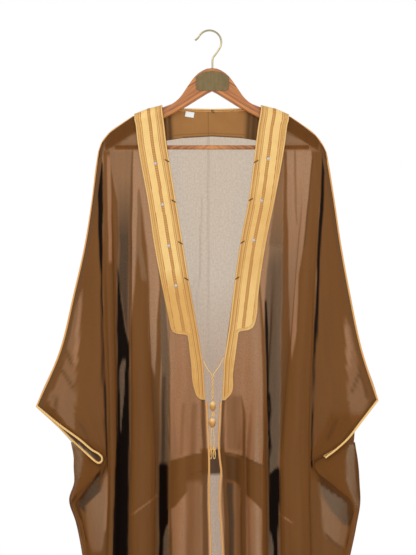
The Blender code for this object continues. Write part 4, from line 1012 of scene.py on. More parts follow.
@dataclass(frozen=True)
class Metal:
    """Drawn or rolled metal with fine marks."""

    name: str
    bright: Colour
    worn_and_shaded: Colour
    roughness: float
    stretch: Colour = (300.0, 300.0, 40.0)

    def build(self) -> bpy.types.Material:
        """Make the material on Object coordinates."""
        book, shader = new_material(self.name)
        marks = book.noise(book.coordinates("Object", self.stretch), 1.0, 3.0)
        blotches = book.noise(book.coordinates("Object", (60.0, 60.0, 60.0)), 1.0, 3.0)
        tone = book.maths("MULTIPLY", book.maths("ADD", marks, blotches), 0.5)
        book.link(book.mix(tone, self.worn_and_shaded, self.bright), shader.inputs["Base Color"])
        shader.inputs["Metallic"].default_value = 1.0
        rough = book.maths("ADD", book.maths("MULTIPLY", marks, 0.2), self.roughness)
        book.link(rough, shader.inputs["Roughness"])
        book.link(book.bump(marks, 0.12, 0.0002), shader.inputs["Normal"])
        return book.material


@dataclass(frozen=True)
class PlainMatt:
    """The pale studio floor."""

    name: str
    colour: Colour

    def build(self) -> bpy.types.Material:
        """Make the material."""
        book, shader = new_material(self.name)
        speckle = book.noise(book.coordinates("Object", (4.0, 4.0, 4.0)), 1.0, 2.0)
        book.link(book.mix(speckle, self.colour, tuple(0.97 * part for part in self.colour)),
                  shader.inputs["Base Color"])
        shader.inputs["Roughness"].default_value = 0.9
        return book.material


@dataclass
class Wardrobe:
    """Every finish of the cloak and its hanger."""

    cloth: bpy.types.Material = field(init=False)
    facing: bpy.types.Material = field(init=False)
    gold: bpy.types.Material = field(init=False)
    cord: bpy.types.Material = field(init=False)
    seam_cord: bpy.types.Material = field(init=False)
    silver: bpy.types.Material = field(init=False)
    thread: bpy.types.Material = field(init=False)
    label: bpy.types.Material = field(init=False)
    wood: bpy.types.Material = field(init=False)
    brass: bpy.types.Material = field(init=False)
    plate: bpy.types.Material = field(init=False)

    def __post_init__(self) -> None:
        """Make the materials."""
        self.cloth = SheerCloth().build()
        self.facing = WovenCloth("brown facing cloth", (0.42, 0.20, 0.062), (0.20, 0.085, 0.022)).build()
        self.gold = GoldThread("gold embroidery").build()
        self.cord = GoldThread("gold cord", (0.86, 0.60, 0.24), (0.72, 0.42, 0.12),
                               (0.36, 0.13, 0.02), 0.36).build()
        self.seam_cord = GoldThread("orange gold cord", (0.78, 0.43, 0.14), (0.62, 0.285, 0.065),
                                    (0.28, 0.09, 0.013), 0.42).build()
        self.silver = WovenCloth("silver thread", (0.62, 0.60, 0.64), (0.36, 0.35, 0.38)).build()
        self.thread = WovenCloth("dark stitching", (0.1, 0.045, 0.015), (0.03, 0.012, 0.005)).build()
        self.label = WovenCloth("white label tape", (0.86, 0.86, 0.84), (0.66, 0.65, 0.62)).build()
        self.wood = VarnishedWood().build()
        self.brass = Metal("brass wire", (0.50, 0.43, 0.28), (0.28, 0.23, 0.12), 0.2).build()
        self.plate = Metal("bronze plate", (0.27, 0.20, 0.10), (0.115, 0.082, 0.038), 0.36).build()


@dataclass
class GridMesh:
    """A sheet of faces through points by row and column, with its UV map and attributes."""

    grid: np.ndarray
    uv: np.ndarray
    values: dict[str, np.ndarray] = field(default_factory=dict)

    def build(self, keep: Callable[[int, int], bool] | None = None) -> bmesh.types.BMesh:
        """Make the sheet.

        Args:
            keep: Says of a face's row and column whether it stays.

        Returns:
            The bmesh.
        """
        bm = bmesh.new()
        down, across = self.grid.shape[0] - 1, self.grid.shape[1] - 1
        bmesh.ops.create_grid(bm, x_segments=across, y_segments=down, size=0.5)
        layers = {name: bm.verts.layers.float.new(name) for name in self.values}
        uv_layer = bm.loops.layers.uv.new("UVMap")
        where = {}
        for vert in bm.verts:
            column, row = round((vert.co.x + 0.5) * across), round((vert.co.y + 0.5) * down)
            where[vert] = (row, column)
            vert.co = self.grid[row, column]
            for name, layer in layers.items():
                vert[layer] = float(self.values[name][row, column])
        cut = []
        for face in bm.faces:
            for loop in face.loops:
                loop[uv_layer].uv = self.uv[where[loop.vert]]
            row = min(where[vert][0] for vert in face.verts)
            column = min(where[vert][1] for vert in face.verts)
            if keep is not None and not keep(row, column):
                cut.append(face)
        if cut:
            bmesh.ops.delete(bm, geom=cut, context="FACES")
        return bm


def cloth_uv(grid: np.ndarray) -> np.ndarray:
    """Distances across and down a sheet of cloth, in metres, for its UV map."""
    across = np.linalg.norm(np.diff(grid, axis=1), axis=2)
    down = np.linalg.norm(np.diff(grid, axis=0), axis=2)
    u = np.pad(np.cumsum(across, axis=1), ((0, 0), (1, 0)))
    v = np.pad(np.cumsum(down, axis=0), ((1, 0), (0, 0)))
    u_mean = np.broadcast_to(u.mean(axis=0), u.shape)
    v_mean = np.broadcast_to(v.mean(axis=1)[:, None], v.shape)
    return np.stack([u_mean, v_mean], axis=-1)


def finish_piece(name: str, bm: bmesh.types.BMesh, finish: bpy.types.Material,
                 nodes: Sequence[str] = (), closed: bool = True,
                 front: bool = True) -> bpy.types.Object:
    """Turn a bmesh into a piece that rides on the hanger.

    Args:
        name: The piece's name.
        bm: Its mesh, which is freed.
        finish: Its material.
        nodes: The CAD nodes that it stands for.
        closed: Whether it is a closed body, and not an open sheet.
        front: Whether an open sheet's outside faces -Y.

    Returns:
        The object.
    """
    bmesh.ops.recalc_face_normals(bm, faces=bm.faces)
    if not closed:
        bm.normal_update()
        faces_front = sum(face.normal.y * face.calc_area() for face in bm.faces) < 0
        if faces_front != front:
            bmesh.ops.reverse_faces(bm, faces=bm.faces)
    mesh = bpy.data.meshes.new(name)
    bm.to_mesh(mesh)
    bm.free()
    mesh.materials.append(finish)
    mesh.shade_smooth()
    piece = bpy.data.objects.new(name, mesh)
    bpy.context.collection.objects.link(piece)
    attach(piece, BODY)
    if nodes:
        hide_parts(*nodes)
    LOG.info("%s: %d faces", name, len(mesh.polygons))
    return piece


@dataclass
class TwistedCord:
    """A round cord of twisted strands along a line."""

    points: np.ndarray
    radius: float
    strands: int = 3
    pitch: float = 0.008
    relief: float = 0.12
    around: int = 12
    groove: float = 0.45
    taper: float = 0.0

    def frames(self) -> list[tuple[Vector, Vector]]:
        """Two directions across the line at each of its points."""
        points = [Vector(point) for point in self.points]
        across = None
        found = []
        for index, point in enumerate(points):
            along = (points[min(index + 1, len(points) - 1)] - points[max(index - 1, 0)]).normalized()
            if across is None:
                across = along.orthogonal()
            across = (across - along * across.dot(along)).normalized()
            found.append((across.copy(), along.cross(across)))
        return found

    def build(self) -> bmesh.types.BMesh:
        """Make the cord, closed at both ends."""
        frames = self.frames()
        steps = np.linalg.norm(np.diff(self.points, axis=0), axis=1)
        along = np.concatenate([[0.0], np.cumsum(steps)])
        angles = np.linspace(0.0, math.tau, self.around + 1)
        count = len(self.points)
        grid = np.empty((count, self.around + 1, 3))
        groove = np.empty((count, self.around + 1))
        for row in range(count):
            first, second = frames[row]
            end = min(row, count - 1 - row)
            narrowing = 1.0 - self.taper * (1.0 if end == 0 else 0.0)
            for column, angle in enumerate(angles):
                wave = abs(math.cos(self.strands * (angle - math.tau * along[row] / self.pitch
                                                    / self.strands) / 2))
                radius = self.radius * (1.0 - self.relief * (1.0 - wave)) * narrowing
                offset = first * math.cos(angle) + second * math.sin(angle)
                grid[row, column] = Vector(self.points[row]) + offset * radius
                # Painted shade in the grooves between the strands.
                groove[row, column] = (1.0 - wave) * self.groove
        uv = np.stack(np.meshgrid(angles * self.radius, along), axis=-1)
        gold = np.full_like(groove, 0.45)
        bm = GridMesh(grid, uv, {"groove": groove, "gold": gold}).build()
        bmesh.ops.remove_doubles(bm, verts=bm.verts, dist=self.radius * 0.01)
        rims = [edge for edge in bm.edges if edge.is_boundary]
        bmesh.ops.holes_fill(bm, edges=rims, sides=self.around + 2)
        return bm


@dataclass
class Panel:
    """A panel of sheer cloth, with its creases, how dense it looks and its painted light and shade."""

    weave_cover: float = 0.50
    # Painted shade of the whole panel before its strips: GOLDEN's lit level on the back.
    painted_base_shade: float = 0.4
    wrinkle: float = 1.2
    seed: float = 0.0

    def wrinkles(self, grid: np.ndarray, mask: np.ndarray) -> np.ndarray:
        """Small uneven creases, mostly along the hang of the cloth, in metres."""
        rise = np.zeros(grid.shape[:2])
        for row in range(grid.shape[0]):
            for column in range(grid.shape[1]):
                if mask[row, column] <= 0.0:
                    continue
                x, y, z = grid[row, column]
                long_one = noise.noise(Vector((x * 48.0, self.seed, z * 4.5)))
                fine_one = noise.noise(Vector((x * 130.0, self.seed + 7.0, z * 14.0)))
                rise[row, column] = (long_one + 0.35 * fine_one) * mask[row, column]
        return rise * self.wrinkle * MM

    def tones(self, name: str, grid: np.ndarray, normals: np.ndarray, reach: np.ndarray,
              drop: np.ndarray, away: np.ndarray) -> dict[str, np.ndarray]:
        """Work out how the panel's cloth looks.

        Args:
            name: The panel's name.
            grid: Its points in metres.
            normals: Its normals.
            reach: Reach of each point, counted to the right on the back.
            drop: Drop of each point.
            away: How far each point stands out from the panel's mean depth.

        Returns:
            The cover and painted shade attributes.
        """
        cover = np.full(grid.shape[:2], self.weave_cover)
        # Fold valleys get more cover and painted shade.
        valley = np.clip(-away / 16.0, 0.0, 1.0)
        cover += 0.12 * valley
        shade = self.painted_base_shade + 0.2 * valley
        for strip in TONES[name]:
            strip.paint(reach, drop, cover, shade)
        slant = 1.0 / np.clip(np.abs(normals[:, :, 1]), 0.55, 1.0)
        return {"cover": 1.0 - (1.0 - cover) ** slant, "shade": np.clip(shade, 0.0, 1.0)}


@dataclass
class FrontPanel(Panel):
    """One front with its half of the sleeve."""

    weave_cover: float = Tone.PALE.cover
    # Fronts start with PALE's painted sunlit shade.
    painted_base_shade: float = Tone.PALE.shade
    cut: SideCut = LEFT_CUT
    hem_width: float = 11.0
    grid: np.ndarray = field(init=False)
    normals: np.ndarray = field(init=False)
    rows: np.ndarray = field(init=False)

    def build(self, wardrobe: Wardrobe) -> bpy.types.Object:
        """Make the panel, crease it and dress it."""
        self.rows = DRAPE.front_rows(self.cut)
        grid = to_place(self.rows, self.cut.side.sign)
        normals = grid_normals(grid, True)
        reach, depth, drop = (self.rows[:, :, part] for part in range(3))
        under_band = np.interp(drop, [row[0] for row in self.cut.band_edge],
                               [row[1] for row in self.cut.band_edge])
        clear = np.clip((reach - np.where(drop < 745.0, under_band, 0.0) - 6.0) / 14.0, 0.0, 1.0)
        ends = np.linspace(0.0, 1.0, grid.shape[1])
        clear *= np.clip(ends * 12.0, 0.0, 1.0) * np.clip((1.0 - ends) * 12.0, 0.0, 1.0)
        clear *= np.clip((drop - 190.0) / 80.0, 0.0, 1.0)
        grid = grid + normals * self.wrinkles(grid, clear)[:, :, None]
        self.grid, self.normals = grid, grid_normals(grid, True)
        mean = np.interp(drop, [row[0] for row in DRAPE.front_depth],
                         [row[1] for row in DRAPE.front_depth])
        name = f"front_{self.cut.side.word}"
        values = self.tones(name, grid, self.normals, reach, drop, depth - mean)
        # The doubled hem along the sleeve's edge gets more cover and painted shade.
        from_edge = reach[:, -1:] - reach
        hem = np.clip((self.hem_width - from_edge) / 2.0, 0.0, 1.0) * (drop[:, -1:] < CUFF_DROP)
        values["cover"] += (Tone.HEM.cover - values["cover"]) * hem
        values["shade"] += (Tone.HEM.shade - values["shade"]) * hem
        bm = GridMesh(grid, cloth_uv(grid), values).build()
        return finish_piece(name, bm, wardrobe.cloth, [name], closed=False)


@dataclass
class BackPanel(Panel):
    """The back, with the sleeves' back halves and the side margins."""

    grid: np.ndarray = field(init=False)
    rows: np.ndarray = field(init=False)

    def build(self, wardrobe: Wardrobe) -> bpy.types.Object:
        """Make the panel, crease it and dress it."""
        self.rows, margin, belongs = DRAPE.back_rows()
        grid = to_place(self.rows, 1.0, front=False)
        normals = grid_normals(grid, False)
        drop = self.rows[:, :, 2]
        ends = np.linspace(0.0, 1.0, grid.shape[1])
        near_side = np.clip(np.abs(ends * 2.0 - 1.0) * 8.0 - 5.6, 0.0, 1.0)
        clear = np.clip((drop - 240.0) / 80.0, 0.0, 1.0) * (1.0 - near_side)
        grid = grid + normals * self.wrinkles(grid, clear)[:, :, None]
        self.grid = grid
        mean = np.interp(drop, [row[0] for row in DRAPE.back_depth],
                         [row[1] for row in DRAPE.back_depth])
        away = (self.rows[:, :, 1] - mean) * (1.0 - near_side)
        values = self.tones("back", grid, grid_normals(grid, False), self.rows[:, :, 0], drop, away)
        last = grid.shape[1] - 1
        first_margin_row = TOP_ROWS + MARGIN_START_ROW

        def keep(row: int, column: int) -> bool:
            """Whether a face is part of the cloth, and not above a margin."""
            beside = column < margin or column >= last - margin
            return not beside or belongs[row] >= first_margin_row

        bm = GridMesh(grid, cloth_uv(grid), values).build(keep)
        return finish_piece("back", bm, wardrobe.cloth, ["back"], closed=False, front=False)


@dataclass
class NeckFacing:
    """The opaque facing inside the back neck."""

    edge: Pairs = ((0.0, 210.6), (60.0, 214.0), (92.0, 219.0), (102.0, 221.0))
    reach: float = 99.0
    thickness: float = 1.0
    seam_reach: float = -7.6
    # Folds that are only painted shade, by reach and width.
    folds: Pairs = ((-97.0, 4.0), (-87.0, 5.0), (76.0, 7.0), (86.0, 9.0), (96.0, 8.0))

    def build(self, wardrobe: Wardrobe) -> bpy.types.Object:
        """Make the facing as a thin closed piece."""
        clearance = WALL / 2 + SEAM_GAP + self.thickness / 2 + 0.2
        rows = []
        for share in np.linspace(0.0, 1.0, 33):
            row = []
            for reach in np.linspace(-self.reach, self.reach, 133):
                top = table(abs(reach), DRAPE.neck_edge) + 0.6
                drop = top + (table(abs(reach), self.edge) - top) * share
                row.append((reach, table(drop, DRAPE.back_depth) - clearance, drop))
            rows.append(row)
        rows = np.array(rows)
        # Painted shade in the folds near the facing's ends; darker lines at its centre seam, along its
        # lower edge and on a line above it.
        shade = np.zeros(rows.shape[:2])
        for reach, width in self.folds:
            lean = (rows[:, :, 2] - rows[:1, :, 2]) * 0.06 * math.copysign(1.0, reach)
            shade = np.maximum(shade, 0.75 * np.exp(-((rows[:, :, 0] + lean - reach) / width) ** 2))
        shade = np.maximum(shade, 0.4 * (np.abs(rows[:, :, 0] - self.seam_reach) < 1.2))
        from_edge = rows[-1:, :, 2] - rows[:, :, 2]
        shade = np.maximum(shade, 0.55 * (from_edge < 1.8))
        shade = np.maximum(shade, 0.35 * (np.abs(from_edge - 7.0) < 1.0))
        grid = to_place(rows, 1.0, front=False)
        bm = GridMesh(grid, cloth_uv(grid), {"shade": shade}).build()
        bmesh.ops.recalc_face_normals(bm, faces=bm.faces)
        bmesh.ops.solidify(bm, geom=bm.faces, thickness=self.thickness * MM)
        middle = np.mean([vert.co.y for vert in bm.verts])
        wanted = grid[:, :, 1].mean()
        bmesh.ops.translate(bm, verts=bm.verts, vec=(0.0, wanted - middle, 0.0))
        return finish_piece("neck_facing", bm, wardrobe.facing, ["neck_facing"])


@dataclass
class Label:
    """The small bare label on the facing."""

    centre: tuple[float, float] = (-45.0, 166.6)
    size: tuple[float, float] = (18.0, 11.0)
    tilt: float = -9.0
    thickness: float = 0.6

    def build(self, wardrobe: Wardrobe) -> bpy.types.Object:
        """Make the label, slightly curled away from its stitched ends."""
        facing = table(self.centre[1], DRAPE.back_depth) - WALL / 2 - SEAM_GAP - 1.2
        turn = math.radians(self.tilt)
        rows = []
        for down in np.linspace(-0.5, 0.5, 9):
            row = []
            for across in np.linspace(-0.5, 0.5, 13):
                x, z = across * self.size[0], down * self.size[1]
                curl = 0.5 * (1.0 - (2.0 * across) ** 2) * (0.6 + 0.4 * math.sin(down * 9.0))
                row.append((self.centre[0] + x * math.cos(turn) + z * math.sin(turn),
                            facing - 0.75 - curl * 0.5,
                            self.centre[1] - x * math.sin(turn) + z * math.cos(turn)))
            rows.append(row)
        grid = to_place(np.array(rows), 1.0, front=False)
        bm = GridMesh(grid, cloth_uv(grid)).build()
        bmesh.ops.recalc_face_normals(bm, faces=bm.faces)
        bmesh.ops.solidify(bm, geom=bm.faces, thickness=self.thickness * MM)
        return finish_piece("label", bm, wardrobe.label, ["label"])


class Stripe(Enum):
    """What a stripe of the band is worked in."""

    SATIN = 1
    CORD = 2
    BRAID = 3


@dataclass(frozen=True)
class StripeSpan:
    """One stripe, in millimetres from the opening's edge outwards."""

    kind: Stripe
    start: float
    end: float
    height: float
    brightness: float


STRIPES = (
    StripeSpan(Stripe.CORD, 0.0, 3.4, 0.9, 0.7), StripeSpan(Stripe.CORD, 5.0, 7.0, 0.4, 0.0),
    StripeSpan(Stripe.CORD, 7.2, 10.4, 0.5, 0.45), StripeSpan(Stripe.CORD, 11.6, 14.4, 0.5, 0.45),
    StripeSpan(Stripe.SATIN, 14.8, 25.0, 0.5, 1.0), StripeSpan(Stripe.BRAID, 25.6, 30.6, 0.8, 0.1),
    StripeSpan(Stripe.SATIN, 31.2, 44.6, 0.5, 1.0), StripeSpan(Stripe.CORD, 45.8, 48.8, 0.5, 0.4),
    StripeSpan(Stripe.CORD, 49.6, 52.2, 0.4, 0.1),
)
BORDER = (StripeSpan(Stripe.CORD, 0.0, 3.4, 0.8, 0.65), StripeSpan(Stripe.CORD, 3.8, 6.4, 0.5, 0.3))


@dataclass
class Band:
    """One embroidered band, worked in satin stripes, cords and a herringbone braid."""

    cut: SideCut
    levels: tuple[float, ...] = (190.0, 225.0, 262.0, 340.0, 430.0, 530.0)
    thickness: float = 1.3
    clearance: float = 0.9
    across: int = 64
    spacing: float = 1.6
    stitch_pitch: float = 4.8
    # Painted shade down the band: the share of its gold dimmed at each drop, where it lies out of the
    # light.
    painted_shade_along: Pairs = ((480.0, 0.0), (520.0, 0.9))
    dots: tuple[float, ...] = ()
    bars: tuple[float, ...] = ()
    top: np.ndarray = field(init=False)

    def base_rows(self) -> np.ndarray:
        """The cloth's surface under the band, as reach, depth and drop."""
        shares = np.linspace(0.0, 1.0, self.across + 1)
        inner, outer = self.cut.shoulder[0][0], self.cut.band_edge[0][1]
        rows = []
        for angle in BAND_ANGLES:
            turn = math.radians(angle)
            rows.append([(reach, CLOTH_OVER_ARM * math.sin(turn),
                          table(reach, self.cut.shoulder) + CLOTH_OVER_ARM * (1 - math.cos(turn)))
                         for reach in inner + shares * (outer - inner)])
        levels = [*self.levels, *(drop for drop, _ in self.cut.band_edge if drop > self.levels[-1] + 20.0)]
        for level in sorted([*levels, 640.0, 662.0]):
            inner, outer = table(level, self.cut.front_edge), table(level, self.cut.band_edge)
            rows.append([(reach, table(level, DRAPE.front_depth), level)
                         for reach in inner + shares * (outer - inner)])
        return finer_rows(np.array(rows, float), self.spacing)

    def worked(self, inside: float, border: float, along: float) -> tuple[float, float, float]:
        """The needlework at one place.

        Args:
            inside: Millimetres from the opening's edge.
            border: Millimetres from the band's outer border.
            along: Millimetres along the band.

        Returns:
            Height above the ground in millimetres, brightness and groove, which paints shade in the
            grooves.
        """
        stripes = [(stripe, border) for stripe in BORDER] + [(stripe, inside) for stripe in STRIPES]
        for stripe, place_across in stripes:
            if not stripe.start <= place_across <= stripe.end:
                continue
            across = (place_across - stripe.start) / (stripe.end - stripe.start) * 2.0 - 1.0
            dome = math.sqrt(max(1.0 - across * across, 0.0))
            if stripe.kind is Stripe.SATIN:
                wave = 0.5 + 0.5 * math.cos(math.tau * (along + 5.0 * across) / self.stitch_pitch)
                light = stripe.brightness * (0.82 + 0.18 * math.cos(math.tau * place_across / 3.3))
                return stripe.height * (0.5 + 0.4 * dome + 0.1 * wave), light, 0.14 * (1 - wave)
            if stripe.kind is Stripe.BRAID:
                wave = 0.5 + 0.5 * math.cos(math.tau * (along + abs(across) * 2.4) / self.stitch_pitch)
                groove = (1.0 - wave) * 0.95 + 0.35 * (1.0 - dome)
                return stripe.height * dome * (0.6 + 0.4 * wave), stripe.brightness, groove
            wave = 0.5 + 0.5 * math.cos(math.tau * (along + across * 1.6) / self.stitch_pitch)
            groove = (1.0 - wave) * 0.25 + 0.5 * (1.0 - dome)
            return stripe.height * dome * (0.8 + 0.2 * wave), stripe.brightness, groove
        return 0.0, 0.1, 0.8

    def build(self, wardrobe: Wardrobe) -> list[bpy.types.Object]:
        """Make the band, its silver dots and its stitch bars."""
        rows = self.base_rows()
        base = to_place(rows, self.cut.side.sign)
        normals = grid_normals(base, True)
        along = np.concatenate([[0.0], np.cumsum(np.linalg.norm(np.diff(base[:, 0], axis=0), axis=1))])
        height, gold, groove = (np.zeros(base.shape[:2]) for _ in range(3))
        outline = np.concatenate([base[:, -1], base[-1, ::4]])
        # Painted shade along the band dims its gold row by row.
        shade_by_row = np.array([table(drop, self.painted_shade_along) for drop in rows[:, 0, 2]])
        for row in range(base.shape[0]):
            from_inner = np.linalg.norm(base[row] - base[row, 0], axis=1) / MM
            gaps = np.linalg.norm(base[row][:, None, :] - outline[None, :, :], axis=2)
            from_border = gaps.min(axis=1) / MM
            for column in range(base.shape[1]):
                height[row, column], light, groove[row, column] = self.worked(
                    from_inner[column], from_border[column], along[row] / MM)
                gold[row, column] = light * (1.0 - shade_by_row[row])
        under = (WALL / 2 + self.clearance) * MM
        top = base + normals * (under + (self.thickness + height) * MM)[:, :, None]
        bottom = base + normals * under
        self.top = top
        uv = np.stack(np.meshgrid(np.linspace(0.0, 0.056, self.across + 1), along), axis=-1)
        bm = GridMesh(top, uv, {"gold": gold, "groove": groove}).build()
        grown = bmesh.ops.extrude_face_region(bm, geom=list(bm.faces))
        lower = {}
        for row in range(base.shape[0]):
            for column in range(base.shape[1]):
                lower[tuple(np.round(Vector(top[row, column]), 7))] = bottom[row, column]
        for item in grown["geom"]:
            if isinstance(item, bmesh.types.BMVert):
                item.co = lower[tuple(np.round(item.co, 7))]
        name = f"band_{self.cut.side.word}"
        pieces = [finish_piece(name, bm, wardrobe.gold, [name])]
        pieces.append(self.silver_dots(rows, top, normals, wardrobe))
        pieces.append(self.stitch_bars(rows, top, normals, wardrobe))
        return pieces

    def silver_dots(self, rows: np.ndarray, top: np.ndarray, normals: np.ndarray,
                    wardrobe: Wardrobe) -> bpy.types.Object:
        """Small silver knots down the middle of the braid."""
        middle = self.across // 2
        bm = bmesh.new()
        for drop in self.dots:
            row = int(np.argmin(np.abs(rows[:, middle, 2] - drop)))
            ball = bmesh.ops.create_uvsphere(bm, u_segments=16, v_segments=10, radius=2.9 * MM)
            for vert in ball["verts"]:
                vert.co.y *= 0.5
            spot = Vector(top[row, middle]) + Vector(normals[row, middle]) * 0.4 * MM
            bmesh.ops.translate(bm, verts=ball["verts"], vec=spot)
        return finish_piece(f"band_{self.cut.side.word}_silver_dots", bm, wardrobe.silver)

    def stitch_bars(self, rows: np.ndarray, top: np.ndarray, normals: np.ndarray,
                    wardrobe: Wardrobe) -> bpy.types.Object:
        """Short dark stitches that wrap the band's inner edge."""
        bm = bmesh.new()
        for drop in self.bars:
            row = int(np.argmin(np.abs(rows[:, 0, 2] - drop)))
            lift = Vector(normals[row, 0]) * 0.5 * MM
            line = [Vector(top[row + 2 - column // 3, column]) + lift for column in range(1, 11)]
            cord = TwistedCord(np.array([tuple(p) for p in line]), 0.9 * MM, around=8).build()
            mesh = bpy.data.meshes.new("stitch")
            cord.to_mesh(mesh)
            cord.free()
            bm.from_mesh(mesh)
            bpy.data.meshes.remove(mesh)
        return finish_piece(f"band_{self.cut.side.word}_stitches", bm, wardrobe.thread)


def beside(line: Sequence[Sequence[float]], stand_off: float) -> list[tuple[float, float, float]]:
    """Move a line of reach, depth and drop sideways, to the left of its way."""
    moved = []
    for index, (reach, depth, drop) in enumerate(line):
        before, after = line[max(index - 1, 0)], line[min(index + 1, len(line) - 1)]
        along = Vector((after[0] - before[0], after[2] - before[2])).normalized()
        moved.append((reach + along.y * stand_off, depth, drop - along.x * stand_off))
    return moved


@dataclass
class Pipings:
    """The gold pipings of one half: seam, cuff and front edge, and their lines."""

    cut: SideCut
    radius: float = 2.3
    spacing: float = 1.6 * MM

    def seam_line(self) -> list[tuple[float, float, float]]:
        """Line of the shoulder and sleeve seam."""
        start = self.cut.band_edge[0][1] + 3.0
        line = [(start, 0.0, table(start, self.cut.shoulder))]
        line += [(reach, 0.0, drop) for reach, drop in self.cut.shoulder if reach > start + 4.0]
        line += [(table(level, self.cut.front_side), 0.0, level)
                 for level in self.cut.levels[:CUFF_TIP_ROW + 1]]
        return beside(line, -1.0)

    def cuff_front_line(self) -> list[tuple[float, float, float]]:
        """Line of a cuff's front edge, with its end or turn at the side seam."""
        levels = list(self.cut.levels[CUFF_TIP_ROW:CUFF_END_ROW])
        line = [(table(level, self.cut.front_side), table(level, DRAPE.cuff_depth), level)
                for level in levels]
        line[-1] = (line[-1][0] + 5.0, line[-1][1], line[-1][2] - 4.5)
        return line + list(self.cut.cuff_turn)

    def cuff_back_line(self) -> list[tuple[float, float, float]]:
        """Line of a cuff's back edge, from its tip to the turn or along its hidden edge."""
        if not self.cut.cuff_back:
            return [(reach - 3.2, depth - 7.0, drop - 2.4)
                    for reach, depth, drop in self.cuff_front_line()]
        tip = self.cut.levels[CUFF_TIP_ROW]
        return [(table(tip, self.cut.front_side) - 1.0, -1.5, tip + 2.0), *self.cut.cuff_back,
                self.cut.cuff_turn[-1]]

    def edge_line(self) -> list[tuple[float, float, float]]:
        """Line of a front edge, from the band's end to the hem."""
        start = self.cut.band_edge[-1][0] + 4.0
        levels = [start] + [level for level in self.cut.levels if level > start + 6.0]
        line = [(table(level, self.cut.front_edge), table(level, DRAPE.front_depth), level)
                for level in levels]
        return beside(line, -self.radius - 0.5)

    def build(self, wardrobe: Wardrobe) -> None:
        """Make the four pipings."""
        word = self.cut.side.word
        for kind, line in (("shoulder", self.seam_line()), ("cuff_front", self.cuff_front_line()),
                           ("cuff_back", self.cuff_back_line()), ("edge", self.edge_line())):
            placed = [place(CENTRE_X + self.cut.side.sign * reach, depth, drop)
                      for reach, depth, drop in line]
            points = finer_line(placed, self.spacing)
            bm = TwistedCord(points, self.radius * MM, strands=2, pitch=4.6 * MM, relief=0.08).build()
            name = f"{kind}_piping_{word}"
            finish = wardrobe.cord if "cuff" in kind else wardrobe.seam_cord
            finish_piece(name, bm, finish, [name])


@dataclass
class NeckCord:
    """The thin gold cord on the back neck edge."""

    radius: float = 1.9
    binding_depth: float = 2.2
    loop_x: float = 6.6
    loop_drop: float = 160.2

    def build(self, wardrobe: Wardrobe) -> None:
        """Make the cord, the binding stitched under it and the loose thread at its middle."""
        line = []
        for reach in np.linspace(-88.0, 88.0, 17):
            drop = table(abs(reach), DRAPE.neck_edge)
            line.append(place(CENTRE_X + reach, -table(drop, DRAPE.back_depth), drop - 0.6))
        bm = TwistedCord(finer_line(line, 1.4 * MM), self.radius * MM, pitch=5.0 * MM).build()
        finish_piece("neck_cord", bm, wardrobe.cord, ["neck_cord"])
        binding = [point + Vector((0.0, -self.binding_depth * MM, -3.4 * MM)) for point in line]
        bm = TwistedCord(finer_line(binding, 2.0 * MM), 1.1 * MM, pitch=4.0 * MM, around=10).build()
        finish_piece("neck_binding", bm, wardrobe.seam_cord)
        loop = [place(self.loop_x + 2.2 * math.cos(math.tau * share),
                      4.0 - table(self.loop_drop, DRAPE.back_depth) + self.binding_depth,
                      self.loop_drop + 2.4 * math.sin(math.tau * share + 0.6))
                for share in np.linspace(0.0, 0.92, 15)]
        bm = TwistedCord(finer_line(loop, 0.8 * MM), 0.7 * MM, around=8).build()
        finish_piece("neck_thread_loop", bm, wardrobe.thread)


